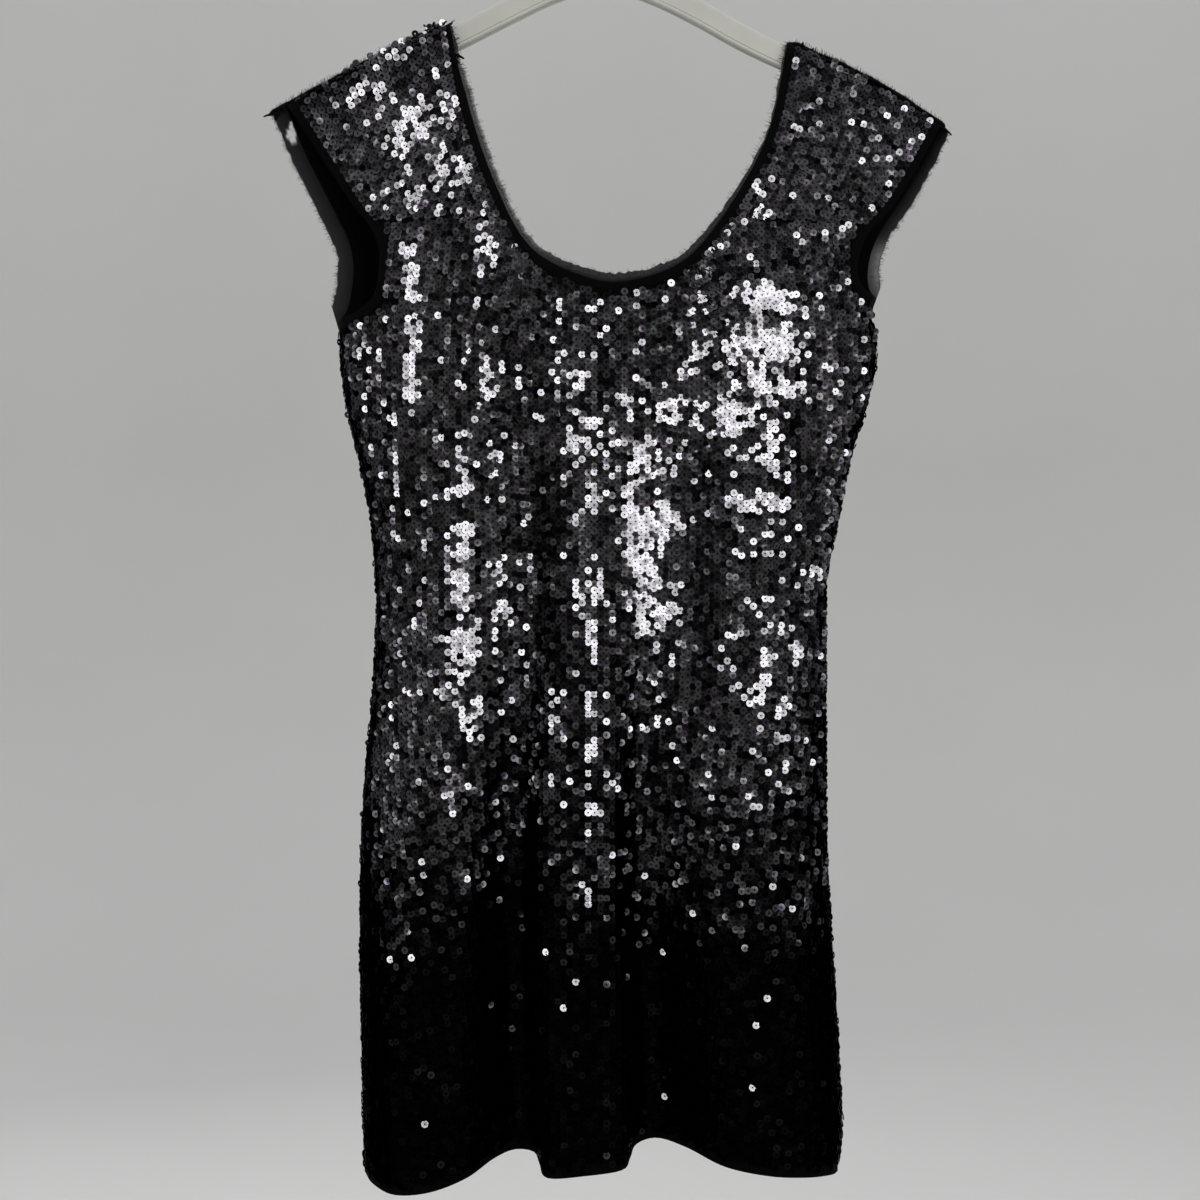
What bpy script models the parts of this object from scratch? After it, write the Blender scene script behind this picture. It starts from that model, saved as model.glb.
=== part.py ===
"""A sequin mini dress on a hanger: cloth panels with a real wall, their trims and a moulded hanger.

The dress hangs as a flattened tube. Every panel is a sheet whose outline is drawn in the view from the
front and whose depth comes from the hang of the cloth: it wraps the hanger's arm at the shoulder, fills
out at the bust, and falls into loose waves at the hem.
"""

import math

import bmesh
import bpy
import numpy as np

# All sizes are in millimetres. X runs across the dress, -Y is its front and Z is up.
# The origin is the underside of the hook's crown, where a rail carries the hanger.
MM = 0.001

CLOTH_WALL = 1.6
TRIM_WALL = 1.3
GAUZE_WALL = 1.0
SEAM_GAP = 0.35
HALF_SEAM = 0.17

# The shoulder line, where front and back meet over the hanger's arm: across, height.
SHOULDER_LINE = [
    (-240.0, -180.4),
    (-200.0, -158.2),
    (-160.0, -137.2),
    (-108.8, -112.5),
    (-72.0, -93.5),
    (-34.0, -74.0),
    (0.0, -64.0),
    (34.0, -74.0),
    (72.0, -93.5),
    (101.5, -110.4),
    (135.1, -127.2),
    (170.0, -142.6),
    (205.0, -162.0),
    (250.0, -192.0),
]

# The dress's outline from the front, sleeve tip to hem: height, left edge, right edge.
OUTLINE = [
    (-170.0, -233.0, 252.0),
    (-240.0, -211.0, 220.0),
    (-310.0, -189.3, 190.0),
    (-326.7, -184.1, 191.8),
    (-353.0, -182.7, 191.0),
    (-385.0, -177.8, 183.6),
    (-417.7, -170.1, 173.6),
    (-457.6, -162.2, 165.9),
    (-498.2, -158.4, 157.5),
    (-535.0, -157.9, 156.6),
    (-587.0, -161.0, 156.7),
    (-640.0, -165.9, 156.8),
    (-700.0, -169.1, 158.0),
    (-765.6, -169.1, 162.0),
    (-829.0, -168.4, 165.9),
    (-886.0, -167.2, 168.0),
    (-914.7, -165.9, 164.2),
]

# How far the cloth stands off the mid plane: drop below the shoulder line, front, back.
HANG = [
    (0.0, 0.0, 0.0),
    (1.2, 3.8, 3.8),
    (3.0, 5.7, 5.7),
    (8.0, 8.0, 8.0),
    (20.0, 9.5, 9.5),
    (50.0, 15.0, 14.0),
    (100.0, 28.0, 21.0),
    (150.0, 40.0, 27.0),
    (200.0, 48.0, 32.0),
    (280.0, 50.0, 35.0),
    (380.0, 45.0, 32.0),
    (500.0, 46.0, 34.0),
    (650.0, 50.0, 37.0),
    (860.0, 53.0, 39.0),
]
# How square the tube's section is: the stretch round the arm, and the fill beyond it.
WRAP_DEPTH = 8.0
WRAP_SQUARENESS = 12
ROUNDNESS = 2.4
FULLNESS = 0.55

# The neckline, from the left high shoulder round to the right one: across, height.
NECK_FRONT = [
    (-108.8, -112.5),
    (-100.0, -166.0),
    (-80.0, -229.0),
    (-53.0, -280.0),
    (-12.0, -303.0),
    (22.0, -305.0),
    (62.0, -288.0),
    (97.0, -242.0),
    (122.0, -189.0),
    (135.1, -127.2),
]
NECK_BACK = [
    (-108.8, -112.5),
    (-100.0, -166.0),
    (-82.0, -229.0),
    (-55.0, -282.0),
    (-14.0, -307.0),
    (24.0, -309.0),
    (64.0, -291.0),
    (99.0, -243.0),
    (122.0, -189.0),
    (135.1, -127.2),
]

# The armholes, from the shoulder down to the underarm: across, height. The front is cut in deeper.
ARMHOLE_LEFT_FRONT = [
    (-215.0, -166.6),
    (-188.0, -207.5),
    (-165.5, -241.5),
    (-149.5, -264.0),
    (-147.2, -292.0),
    (-156.0, -316.0),
    (-184.1, -326.7),
]
ARMHOLE_LEFT_BACK = [
    (-216.0, -168.0),
    (-203.0, -200.0),
    (-185.0, -236.0),
    (-173.0, -262.0),
    (-170.5, -285.0),
    (-175.0, -312.0),
    (-184.1, -326.7),
]
ARMHOLE_RIGHT_FRONT = [
    (231.7, -180.2),
    (216.0, -209.0),
    (197.0, -239.0),
    (178.0, -261.0),
    (170.5, -284.0),
    (174.0, -301.0),
    (190.0, -310.0),
]
ARMHOLE_RIGHT_BACK = [
    (232.0, -180.4),
    (221.0, -204.0),
    (206.0, -230.0),
    (190.0, -255.0),
    (182.5, -278.0),
    (183.0, -297.0),
    (190.0, -310.0),
]

# The hem seen from below, a row for each crest, flank or trough: across, depth, height.
HEM_FRONT = [
    (-165.9, 0.0, -914.7),
    (-157.0, -26.0, -915.5),
    (-140.0, -47.0, -916.5),
    (-116.0, -50.0, -914.0),
    (-92.0, -38.0, -908.0),
    (-75.0, -17.0, -901.0),
    (-61.0, -5.0, -898.0),
    (-47.5, -9.0, -898.5),
    (-43.0, -28.0, -901.0),
    (-37.0, -49.0, -904.5),
    (-11.0, -56.0, -901.0),
    (13.5, -51.0, -898.5),
    (19.0, -29.0, -897.0),
    (23.5, -8.0, -893.5),
    (38.0, -1.0, -891.0),
    (58.0, -14.0, -894.0),
    (83.0, -37.0, -900.5),
    (112.0, -50.0, -903.0),
    (138.0, -45.0, -905.5),
    (157.0, -24.0, -910.0),
    (164.2, 0.0, -914.7),
]
HEM_BACK = [
    (-165.9, 0.0, -914.7),
    (-156.0, 22.0, -915.0),
    (-130.0, 38.0, -912.0),
    (-95.0, 31.0, -907.0),
    (-60.0, 43.0, -904.5),
    (-16.0, 33.0, -901.5),
    (34.0, 44.0, -899.5),
    (80.0, 32.0, -900.5),
    (124.0, 39.0, -905.0),
    (155.0, 22.0, -911.0),
    (164.2, 0.0, -914.7),
]

# How much of the hem's wave is left further up: height, share.
WAVE_REACH = [
    (-255.0, 0.0),
    (-330.0, 0.03),
    (-420.0, 0.11),
    (-520.0, 0.24),
    (-620.0, 0.42),
    (-720.0, 0.66),
    (-800.0, 0.86),
    (-860.0, 0.97),
    (-915.0, 1.0),
]

# Soft creases: top across, top height, foot across, foot height, half width, depth (inwards positive).
CREASES_FRONT = [
    (-40.0, -290.0, -50.0, -600.0, 17.0, 4.5),
    (72.0, -370.0, 62.0, -640.0, 15.0, 4.5),
    (-118.0, -315.0, -110.0, -450.0, 11.0, 3.0),
    (-15.0, -360.0, -22.0, -640.0, 12.0, -2.5),
    (112.0, -300.0, 116.0, -480.0, 24.0, -3.5),
    (-140.0, -270.0, -136.0, -420.0, 12.0, -2.5),
    (28.0, -340.0, 22.0, -560.0, 16.0, -3.0),
    (-104.0, -450.0, -112.0, -720.0, 14.0, -3.0),
]
CREASES_BACK = [
    (-60.0, -340.0, -66.0, -640.0, 18.0, -4.0),
    (20.0, -360.0, 12.0, -700.0, 18.0, -4.0),
    (96.0, -330.0, 90.0, -620.0, 16.0, -3.5),
    (-120.0, -300.0, -116.0, -500.0, 14.0, -3.0),
    (58.0, -420.0, 56.0, -720.0, 14.0, 2.5),
]

# Where the straps meet the body of each panel.
YOKE_FRONT = -255.0
YOKE_BACK = -258.0

# Columns and rows of a panel: strap columns, columns under the neck, body rows, armhole rows.
FRONT_GRID = (8, 26, 16, 5)
BACK_GRID = (6, 16, 13, 4)
# Rows of a strap, as shares of the way from the yoke to the shoulder seam.
FRONT_STRAP = (0.15, 0.3, 0.45, 0.6, 0.74, 0.85, 0.92, 0.96, 0.985, 1.0)
BACK_STRAP = (0.2, 0.4, 0.6, 0.77, 0.89, 0.95, 0.983, 1.0)
UNDERARM_ROW = 0.9

BINDING_WIDTH = 5.5
# The gauze shows past the neck binding on the left and below, and hardly on the right: share, width.
NECK_GAUZE_WIDTHS = [
    (0.0, 3.5),
    (0.15, 6.0),
    (0.5, 6.5),
    (0.7, 4.0),
    (0.85, 2.0),
    (1.0, 1.5),
]
LEFT_GAUZE_WIDTH = 10.0
RIGHT_GAUZE_WIDTH = 7.0
HEM_BAND_HEIGHT = 5.0
HEM_SIDE_HEIGHT = -914.7

# The hanger is one moulding: arms that follow the shoulder line, and a hook on their middle.
ARM_DROP = 2.8
ARM_HALF_THICK = 4.2
ARM_REACH = 210.0
ARM_STATIONS = 34
# The arm's section: distance from the middle, height.
ARM_HEIGHTS = [
    (0.0, 20.0),
    (60.0, 16.5),
    (120.0, 15.5),
    (190.0, 13.5),
    (210.0, 10.0),
]
HOOK_RADIUS = 3.4
HOOK_BEND = 21.0
HOOK_FOOT = -76.0
HOOK_SIDES = 10
# The hook's bar from its foot to where the bend starts: across, height.
HOOK_STEM = [
    (0.0, HOOK_FOOT),
    (0.0, -62.0),
    (2.0, -53.0),
    (8.5, -45.5),
]
HOOK_START = -50.0
HOOK_TIP = 205.0

# Colour, roughness and metallic value of each material.
FINISHES = {
    "sequined_knit": ((0.012, 0.012, 0.015), 0.28, 0.35),
    "black_binding": ((0.006, 0.006, 0.007), 0.85, 0.0),
    "raw_gauze": ((0.045, 0.045, 0.045), 0.9, 0.0),
    "hanger_plastic": ((0.48, 0.48, 0.43), 0.38, 0.0),
}


def through(table, per_span=12):
    """A smooth curve through a table's rows, as closely spaced points."""
    rows = np.array(table, float)
    ends = np.vstack([2 * rows[0] - rows[1], rows, 2 * rows[-1] - rows[-2]])
    points = []
    for k in range(len(rows) - 1):
        before, here, there, after = ends[k : k + 4]
        for step in range(per_span):
            t = step / per_span
            straight = 2 * here + (there - before) * t
            bend = (2 * before - 5 * here + 4 * there - after) * t**2
            twist = (3 * here - before - 3 * there + after) * t**3
            points.append((straight + bend + twist) / 2)
    points.append(rows[-1])
    return np.array(points)


def lengths(curve):
    """Each point's distance along a curve."""
    steps = np.linalg.norm(np.diff(curve, axis=0), axis=1)
    return np.concatenate([[0.0], np.cumsum(steps)])


def spaced(curve, shares):
    """Points of a curve at the given shares of its length."""
    along = lengths(curve)
    wanted = np.array(shares) * along[-1]
    return np.stack([np.interp(wanted, along, column) for column in curve.T], axis=1)


def share_at(curve, height):
    """The share of a curve's length at which it first drops to a height."""
    along = lengths(curve)
    k = int(np.argmax(curve[:, 1] <= height))
    part = (curve[k - 1, 1] - height) / (curve[k - 1, 1] - curve[k, 1])
    return (along[k - 1] + part * (along[k] - along[k - 1])) / along[-1]


SHOULDER_CURVE = through(SHOULDER_LINE)
OUTLINE_CURVE = through(OUTLINE)[::-1]
WAVE_CURVE = through(WAVE_REACH)[::-1]
HANG_CURVE = through(HANG)


def shoulder_height(x):
    return float(np.interp(x, SHOULDER_CURVE[:, 0], SHOULDER_CURVE[:, 1]))


def outline_at(z):
    """The outline's left and right edges at a height."""
    left = np.interp(z, OUTLINE_CURVE[:, 0], OUTLINE_CURVE[:, 1])
    right = np.interp(z, OUTLINE_CURVE[:, 0], OUTLINE_CURVE[:, 2])
    return float(left), float(right)


def crease_push(row, x, z):
    """One soft crease's push at a point: a bell across it that fades at both ends."""
    x_top, z_top, x_foot, z_foot, half_width, depth = row
    along = (z_top - z) / (z_top - z_foot)
    if not 0 < along < 1:
        return 0.0
    middle = x_top + (x_foot - x_top) * along
    bell = math.exp(-(((x - middle) / half_width) ** 2))
    return depth * bell * math.sin(math.pi * along)


def stand_off(side, x, z):
    """How far the cloth's outer face is from the mid plane, at a point seen from the front."""
    drop = max(0.0, shoulder_height(x) - z)
    hang = float(np.interp(drop, HANG_CURVE[:, 0], HANG_CURVE[:, 1 if side < 0 else 2]))
    left, right = outline_at(z)
    across = min(1.0, abs(2 * (x - left) / (right - left) - 1))
    wrap = min(hang, WRAP_DEPTH)
    wrapped = wrap * math.sqrt(1 - across**WRAP_SQUARENESS)
    filled = (hang - wrap) * (1 - across**ROUNDNESS) ** FULLNESS
    creases = CREASES_FRONT if side < 0 else CREASES_BACK
    pushed = sum(crease_push(row, x, z) for row in creases)
    return HALF_SEAM + wrapped + filled - pushed * (1 - across**8)


def patch(bottom, top, left, right, rows):
    """A sheet between four edges: bottom and top share its columns, left and right its rows."""
    columns = len(bottom)
    sheet = np.zeros((len(rows), columns, 2))
    for j, v in enumerate(rows):
        for i in range(columns):
            u = i / (columns - 1)
            low = (1 - u) * bottom[0] + u * bottom[-1]
            high = (1 - u) * top[0] + u * top[-1]
            ends = (1 - u) * left[j] + u * right[j]
            level = (1 - v) * (bottom[i] - low) + v * (top[i] - high)
            sheet[j, i] = ends + level
    return sheet


def side_edge(column, armhole, share, body_rows, arm_rows):
    """A panel's side from the hem to the yoke: up the side seam, then up the armhole."""
    foot = HEM_SIDE_HEIGHT + HEM_BAND_HEIGHT
    heights = np.linspace(foot, armhole[-1, 1], body_rows + 1)[:-1]
    seam = np.array([(outline_at(z)[column], z) for z in heights])
    return np.vstack([seam, spaced(armhole, np.linspace(1, share, arm_rows + 1))])


class Sheet:
    """A cloth's outer face: points, quads, and the points on seams and on the hem."""

    def __init__(self, side):
        self.side = side
        self.points = []
        self.quads = []
        self.on_seam = set()
        self.on_hem = set()

    def add(self, point):
        self.points.append(point)
        return len(self.points) - 1

    def join(self, rows):
        """Quads between each row of points and the next."""
        for low, high in zip(rows[:-1], rows[1:]):
            for i in range(len(low) - 1):
                self.quads.append((low[i], low[i + 1], high[i + 1], high[i]))


def strap(sheet, foot_ids, top_xs, left, right, rows):
    """A strap from the yoke's points up to the shoulder seam. Returns its new rows of points."""
    foot = np.array([sheet.points[k][[0, 2]] for k in foot_ids])
    top = np.array([(x, shoulder_height(x)) for x in top_xs])
    left = np.vstack([left[:-1], top[0]])
    right = np.vstack([right[:-1], top[-1]])
    flat = patch(foot, top, left, right, rows)
    new_rows = []
    for j, v in enumerate(rows):
        on_top = v == rows[-1]
        depths = [HALF_SEAM if on_top else stand_off(sheet.side, x, z) for x, z in flat[j]]
        points = [np.array([x, sheet.side * y, z]) for (x, z), y in zip(flat[j], depths)]
        new_rows.append([sheet.add(point) for point in points])
    sheet.join([foot_ids] + new_rows)
    sheet.on_seam.update(new_rows[-1])
    return new_rows


def panel(side, neck, arm_left, arm_right, hem, yoke, grid, strap_rows):
    """A front or back panel, with its neck, armhole and hem edges as lists of its points."""
    strap_columns, neck_columns, body_rows, arm_rows = grid
    neck, arm_left, arm_right = through(neck), through(arm_left), through(arm_right)
    left_share = share_at(arm_left, yoke)
    right_share = share_at(arm_right, yoke)
    neck_left = share_at(neck, yoke)
    neck_right = 1 - share_at(neck[::-1], yoke)
    left = side_edge(0, arm_left, left_share, body_rows, arm_rows)
    right = side_edge(1, arm_right, right_share, body_rows, arm_rows)
    dip = spaced(neck, np.linspace(neck_left, neck_right, neck_columns + 1))
    left_yoke = np.linspace(left[-1], dip[0], strap_columns + 1)
    right_yoke = np.linspace(dip[-1], right[-1], strap_columns + 1)
    top = np.vstack([left_yoke[:-1], dip, right_yoke[1:]])
    hem_curve = spaced(through(hem), np.linspace(0, 1, len(top)))
    bottom = hem_curve[:, [0, 2]] + [0.0, HEM_BAND_HEIGHT]
    low_rows = np.linspace(0, UNDERARM_ROW, body_rows + 1)
    high_rows = np.linspace(UNDERARM_ROW, 1, arm_rows + 1)[1:]
    flat = patch(bottom, top, left, right, np.concatenate([low_rows, high_rows]))

    sheet = Sheet(side)
    rows = []
    for j, row in enumerate(flat):
        ids = []
        for i, (x, z) in enumerate(row):
            wave = float(np.interp(z, WAVE_CURVE[:, 0], WAVE_CURVE[:, 1]))
            y = (1 - wave) * side * stand_off(side, x, z) + wave * hem_curve[i, 1]
            at_side_seam = j <= body_rows and i in (0, len(row) - 1)
            ids.append(sheet.add(np.array([x, side * HALF_SEAM if at_side_seam else y, z])))
        rows.append(ids)
    sheet.join(rows)
    sheet.on_hem.update(rows[0])
    for ids in rows[: body_rows + 1]:
        sheet.on_seam.update((ids[0], ids[-1]))

    steps = np.array(strap_rows)
    left_strap = strap(
        sheet,
        rows[-1][: strap_columns + 1],
        np.linspace(arm_left[0, 0], neck[0, 0], strap_columns + 1),
        spaced(arm_left, left_share * (1 - steps)),
        spaced(neck, neck_left * (1 - steps)),
        strap_rows,
    )
    right_strap = strap(
        sheet,
        rows[-1][-strap_columns - 1 :],
        np.linspace(neck[-1, 0], arm_right[0, 0], strap_columns + 1),
        spaced(neck, neck_right + (1 - neck_right) * steps),
        spaced(arm_right, right_share * (1 - steps)),
        strap_rows,
    )
    edges = {
        "hem": rows[0],
        "arm_left": [ids[0] for ids in rows[body_rows:] + left_strap],
        "arm_right": [ids[-1] for ids in rows[body_rows:] + right_strap],
        "neck": [ids[-1] for ids in left_strap[::-1]]
        + rows[-1][strap_columns : strap_columns + neck_columns + 1]
        + [ids[0] for ids in right_strap],
    }
    return sheet, edges


def ways_out(line, turn, first, last):
    """Unit directions away from a panel along its edge, with the seams' own ones at both ends."""
    tangents = np.gradient(line, axis=0)
    ways = turn * np.stack([-tangents[:, 1], tangents[:, 0]], axis=1)
    ways[0], ways[-1] = first, last
    ways /= np.linalg.norm(ways, axis=1)[:, None]
    for _ in range(2):
        ways[1:-1] += (ways[:-2] + ways[2:]) / 2
        ways /= np.linalg.norm(ways, axis=1)[:, None]
    return ways


def trim(source, edge, ways, near, widths):
    """A strip along a panel's edge, from a distance outside it. Its two ends lie on seams."""
    sheet = Sheet(source.side)
    rows = []
    for share in (0.0, 0.5, 1.0):
        ids = []
        for k, point_id in enumerate(edge):
            distance = near + share * widths[k]
            x, z = source.points[point_id][[0, 2]] + ways[k] * distance
            at_seam = k in (0, len(edge) - 1)
            depth = HALF_SEAM if at_seam else stand_off(source.side, x, z)
            ids.append(sheet.add(np.array([x, source.side * depth, z])))
            if at_seam:
                sheet.on_seam.add(ids[-1])
        rows.append(ids)
    sheet.join(rows)
    return sheet


def hem_band(source, edge):
    """The plain band under a panel's hem, on the hem's own wave."""
    sheet = Sheet(source.side)
    rows = []
    for drop in (HEM_BAND_HEIGHT, SEAM_GAP):
        ids = [sheet.add(source.points[k] - [0.0, 0.0, drop]) for k in edge]
        rows.append(ids)
        sheet.on_seam.update((ids[0], ids[-1]))
        sheet.on_hem.update(ids)
    sheet.join(rows)
    return sheet


def sheet_normals(sheet):
    """Unit normals of a sheet's points, out of the dress, laid flat against seams and the hem."""
    points = np.array(sheet.points)
    quads = np.array(sheet.quads)
    corners = points[quads]
    faces = np.cross(corners[:, 2] - corners[:, 0], corners[:, 3] - corners[:, 1])
    normals = np.zeros_like(points)
    for corner in range(4):
        np.add.at(normals, quads[:, corner], faces)
    if normals[:, 1].sum() * sheet.side < 0:
        normals = -normals
        sheet.quads = [quad[::-1] for quad in sheet.quads]
    for k in sheet.on_seam:
        normals[k, 1] = 0.0
    for k in sheet.on_hem:
        normals[k, 2] = 0.0
    return normals / np.linalg.norm(normals, axis=1)[:, None]


def walled(sheet, wall):
    """The sheet as a closed wall: its outer face, the same points moved in, and a rim."""
    normals = sheet_normals(sheet)
    outer = np.array(sheet.points)
    count = len(outer)
    faces = []
    sides = {}
    for a, b, c, d in sheet.quads:
        for triangle in ((a, b, c), (a, c, d)):
            faces.append(triangle)
            faces.append(tuple(k + count for k in triangle[::-1]))
        for start, end in ((a, b), (b, c), (c, d), (d, a)):
            sides[(start, end)] = True
    for start, end in sides:
        if (end, start) not in sides:
            faces.append((end, start, start + count))
            faces.append((end, start + count, end + count))
    return np.vstack([outer, outer - normals * wall]), faces


def finish(name):
    colour, roughness, metallic = FINISHES[name]
    material = bpy.data.materials.get(name) or bpy.data.materials.new(name)
    material.use_nodes = True
    shader = material.node_tree.nodes["Principled BSDF"]
    shader.inputs["Base Color"].default_value = (*colour, 1.0)
    shader.inputs["Roughness"].default_value = roughness
    shader.inputs["Metallic"].default_value = metallic
    return material


def add_object(name, points, faces, material):
    """A smooth-shaded object from points in millimetres."""
    mesh = bpy.data.meshes.new(name)
    mesh.from_pydata([tuple(point * MM) for point in points], [], faces)
    mesh.materials.append(finish(material))
    mesh.shade_smooth()
    mesh.set_sharp_from_angle(angle=math.radians(50))
    made = bpy.data.objects.new(name, mesh)
    bpy.context.scene.collection.objects.link(made)
    return made


def swept(path, rights, ups, sections):
    """A closed bar: a section at each station of a path, with flat ends."""
    points = []
    faces = []
    count = len(sections[0])
    for centre, right, up, section in zip(path, rights, ups, sections):
        points.extend(centre + right * a + up * b for a, b in section)
    for k in range(len(path) - 1):
        for i in range(count):
            j = (i + 1) % count
            low, high = k * count, (k + 1) * count
            faces.append((low + i, low + j, high + j, high + i))
    faces.append(tuple(range(count))[::-1])
    faces.append(tuple(range(len(points) - count, len(points))))
    return points, faces


def face_outwards(made):
    shape = bmesh.new()
    shape.from_mesh(made.data)
    bmesh.ops.recalc_face_normals(shape, faces=shape.faces)
    shape.to_mesh(made.data)
    shape.free()


def arm_section(height):
    """Half-round over a flat bar: the section's top is at its origin."""
    radius = ARM_HALF_THICK
    corner = radius / 2
    section = [
        (radius * math.cos(a), radius * math.sin(a) - radius)
        for a in np.linspace(0, math.pi, 7)
    ]
    foot = [(-radius, corner), (-corner, 0.0), (corner, 0.0), (radius, corner)]
    return section + [(across, rise - height) for across, rise in foot]


def arms():
    """The hanger's two arms as one bar under the shoulder line."""
    path, ups, sections = [], [], []
    heights = through(ARM_HEIGHTS)
    for x in np.linspace(-ARM_REACH, ARM_REACH, ARM_STATIONS + 1):
        slope = (shoulder_height(x + 4) - shoulder_height(x - 4)) / 8
        up = np.array([-slope, 0.0, 1.0])
        path.append(np.array([x, 0.0, shoulder_height(x) - ARM_DROP]))
        ups.append(up / np.linalg.norm(up))
        sections.append(arm_section(float(np.interp(abs(x), heights[:, 0], heights[:, 1]))))
    rights = [np.array([0.0, 1.0, 0.0])] * len(path)
    return swept(path, rights, ups, sections)


def hook():
    """The hook: a round bar that rises, swings out and comes back over the middle."""
    bend = HOOK_BEND + HOOK_RADIUS
    angles = np.radians(np.linspace(HOOK_START, HOOK_TIP, 22))
    arc = [(bend * math.cos(a), bend * math.sin(a) - HOOK_BEND) for a in angles]
    line = np.array(list(through(HOOK_STEM, 3)) + arc)
    tangents = np.gradient(line, axis=0)
    tangents /= np.linalg.norm(tangents, axis=1)[:, None]
    path = [np.array([x, 0.0, z]) for x, z in line]
    ups = [np.array([-b, 0.0, a]) for a, b in tangents]
    rights = [np.array([0.0, 1.0, 0.0])] * len(path)
    turns = np.arange(HOOK_SIDES) * 2 * math.pi / HOOK_SIDES
    section = [(HOOK_RADIUS * math.cos(a), HOOK_RADIUS * math.sin(a)) for a in turns]
    return swept(path, rights, ups, [section] * len(path))


def add_hanger():
    made = add_object("hanger", *arms(), "hanger_plastic")
    face_outwards(made)
    bar = add_object("hanger_hook_bar", *hook(), "hanger_plastic")
    face_outwards(bar)
    bar.hide_render = True
    bar.display_type = "WIRE"
    union = made.modifiers.new("hook", "BOOLEAN")
    union.operation = "UNION"
    union.object = bar


def add_cloth(name, sheet, wall, material):
    points, faces = walled(sheet, wall)
    add_object(name, points, faces, material)


def shoulder_way(x, towards):
    """The shoulder line's direction at a point, to the left or to the right."""
    slope = (shoulder_height(x + 3) - shoulder_height(x - 3)) / 6
    return np.array([1.0, slope]) * towards


def add_trims(name, sheet, edge, ways, gauze_name, gauze_widths):
    """A binding along an edge and, where it shows, the raw gauze beyond it."""
    even = np.ones(len(edge))
    binding = trim(sheet, edge, ways, SEAM_GAP, even * BINDING_WIDTH)
    add_cloth(name, binding, TRIM_WALL, "black_binding")
    if gauze_name:
        near = BINDING_WIDTH + 2 * SEAM_GAP
        gauze = trim(sheet, edge, ways, near, even * gauze_widths)
        add_cloth(gauze_name, gauze, GAUZE_WALL, "raw_gauze")


def edge_line(sheet, edge):
    return np.array([sheet.points[k][[0, 2]] for k in edge])


def add_half(name, cut):
    """One half of the dress, front or back: its panel, hem band and trims."""
    sheet, edges = panel(*cut)
    add_cloth(f"{name}_panel", sheet, CLOTH_WALL, "sequined_knit")
    band = hem_band(sheet, edges["hem"])
    add_cloth(f"hem_band_{name}", band, TRIM_WALL, "black_binding")

    line = edge_line(sheet, edges["neck"])
    ways = ways_out(line, 1, shoulder_way(line[0, 0], 1), shoulder_way(line[-1, 0], -1))
    widths = np.array(NECK_GAUZE_WIDTHS)
    along = lengths(line) / lengths(line)[-1]
    shown = np.interp(along, widths[:, 0], widths[:, 1])
    gauze_name = "neck_raw_edge" if name == "front" else None
    add_trims(f"neck_binding_{name}", sheet, edges["neck"], ways, gauze_name, shown)

    for hand, turn, column, width in (
        ("left", 1, 0, LEFT_GAUZE_WIDTH),
        ("right", -1, 1, RIGHT_GAUZE_WIDTH),
    ):
        edge = edges[f"arm_{hand}"]
        line = edge_line(sheet, edge)
        above = line[0, 1] + 10
        up_side = np.array([outline_at(above)[column], above]) - line[0]
        ways = ways_out(line, turn, up_side, shoulder_way(line[-1, 0], -turn))
        gauze_name = f"armhole_{hand}_raw_edge" if name == "back" else None
        add_trims(f"armhole_{hand}_binding_{name}", sheet, edge, ways, gauze_name, width)


def add_dress():
    front_edges = (NECK_FRONT, ARMHOLE_LEFT_FRONT, ARMHOLE_RIGHT_FRONT, HEM_FRONT)
    back_edges = (NECK_BACK, ARMHOLE_LEFT_BACK, ARMHOLE_RIGHT_BACK, HEM_BACK)
    add_half("front", (-1, *front_edges, YOKE_FRONT, FRONT_GRID, FRONT_STRAP))
    add_half("back", (1, *back_edges, YOKE_BACK, BACK_GRID, BACK_STRAP))


def clear_scene():
    for old in list(bpy.data.objects):
        bpy.data.objects.remove(old)


clear_scene()
add_dress()
add_hanger()
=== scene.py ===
"""Sequin mini dress on its hanger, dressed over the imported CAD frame.

Laid out as a Blender add-on: each operator makes one group of pieces, and the panel lists them in order.
Sizes in the tables are millimetres, as in the part's own source: X across, -Y the front, Z up.
"""

import math

import bpy
import numpy as np
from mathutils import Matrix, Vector


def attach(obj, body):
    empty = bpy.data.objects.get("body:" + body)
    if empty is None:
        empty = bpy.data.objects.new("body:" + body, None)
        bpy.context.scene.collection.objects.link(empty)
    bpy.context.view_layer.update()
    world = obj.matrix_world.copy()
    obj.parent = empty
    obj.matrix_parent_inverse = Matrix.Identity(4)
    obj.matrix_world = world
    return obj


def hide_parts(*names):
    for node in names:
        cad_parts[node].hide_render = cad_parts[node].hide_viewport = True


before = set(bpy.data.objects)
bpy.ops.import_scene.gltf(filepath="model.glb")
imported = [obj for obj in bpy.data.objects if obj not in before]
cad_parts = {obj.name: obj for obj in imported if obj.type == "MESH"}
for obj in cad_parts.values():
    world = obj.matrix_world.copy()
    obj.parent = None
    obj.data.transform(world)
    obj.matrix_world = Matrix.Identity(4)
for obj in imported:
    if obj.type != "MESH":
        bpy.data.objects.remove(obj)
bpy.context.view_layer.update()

bl_info = {
    "name": "Sequin Dress",
    "version": (1, 0, 0),
    "blender": (4, 5, 0),
    "location": "View3D > Sidebar > Dress",
    "description": "Makes a sequin mini dress on its hanger, piece by piece",
    "category": "Object",
}

MM = 0.001
BODY = "root"

# ---------------------------------------------------------------- the dress's form, as in the CAD

# How thick the knit is without its sequins.
CLOTH_WALL = 1.0
# Half the gap between the front and the back at their seams.
HALF_SEAM = 0.17

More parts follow.
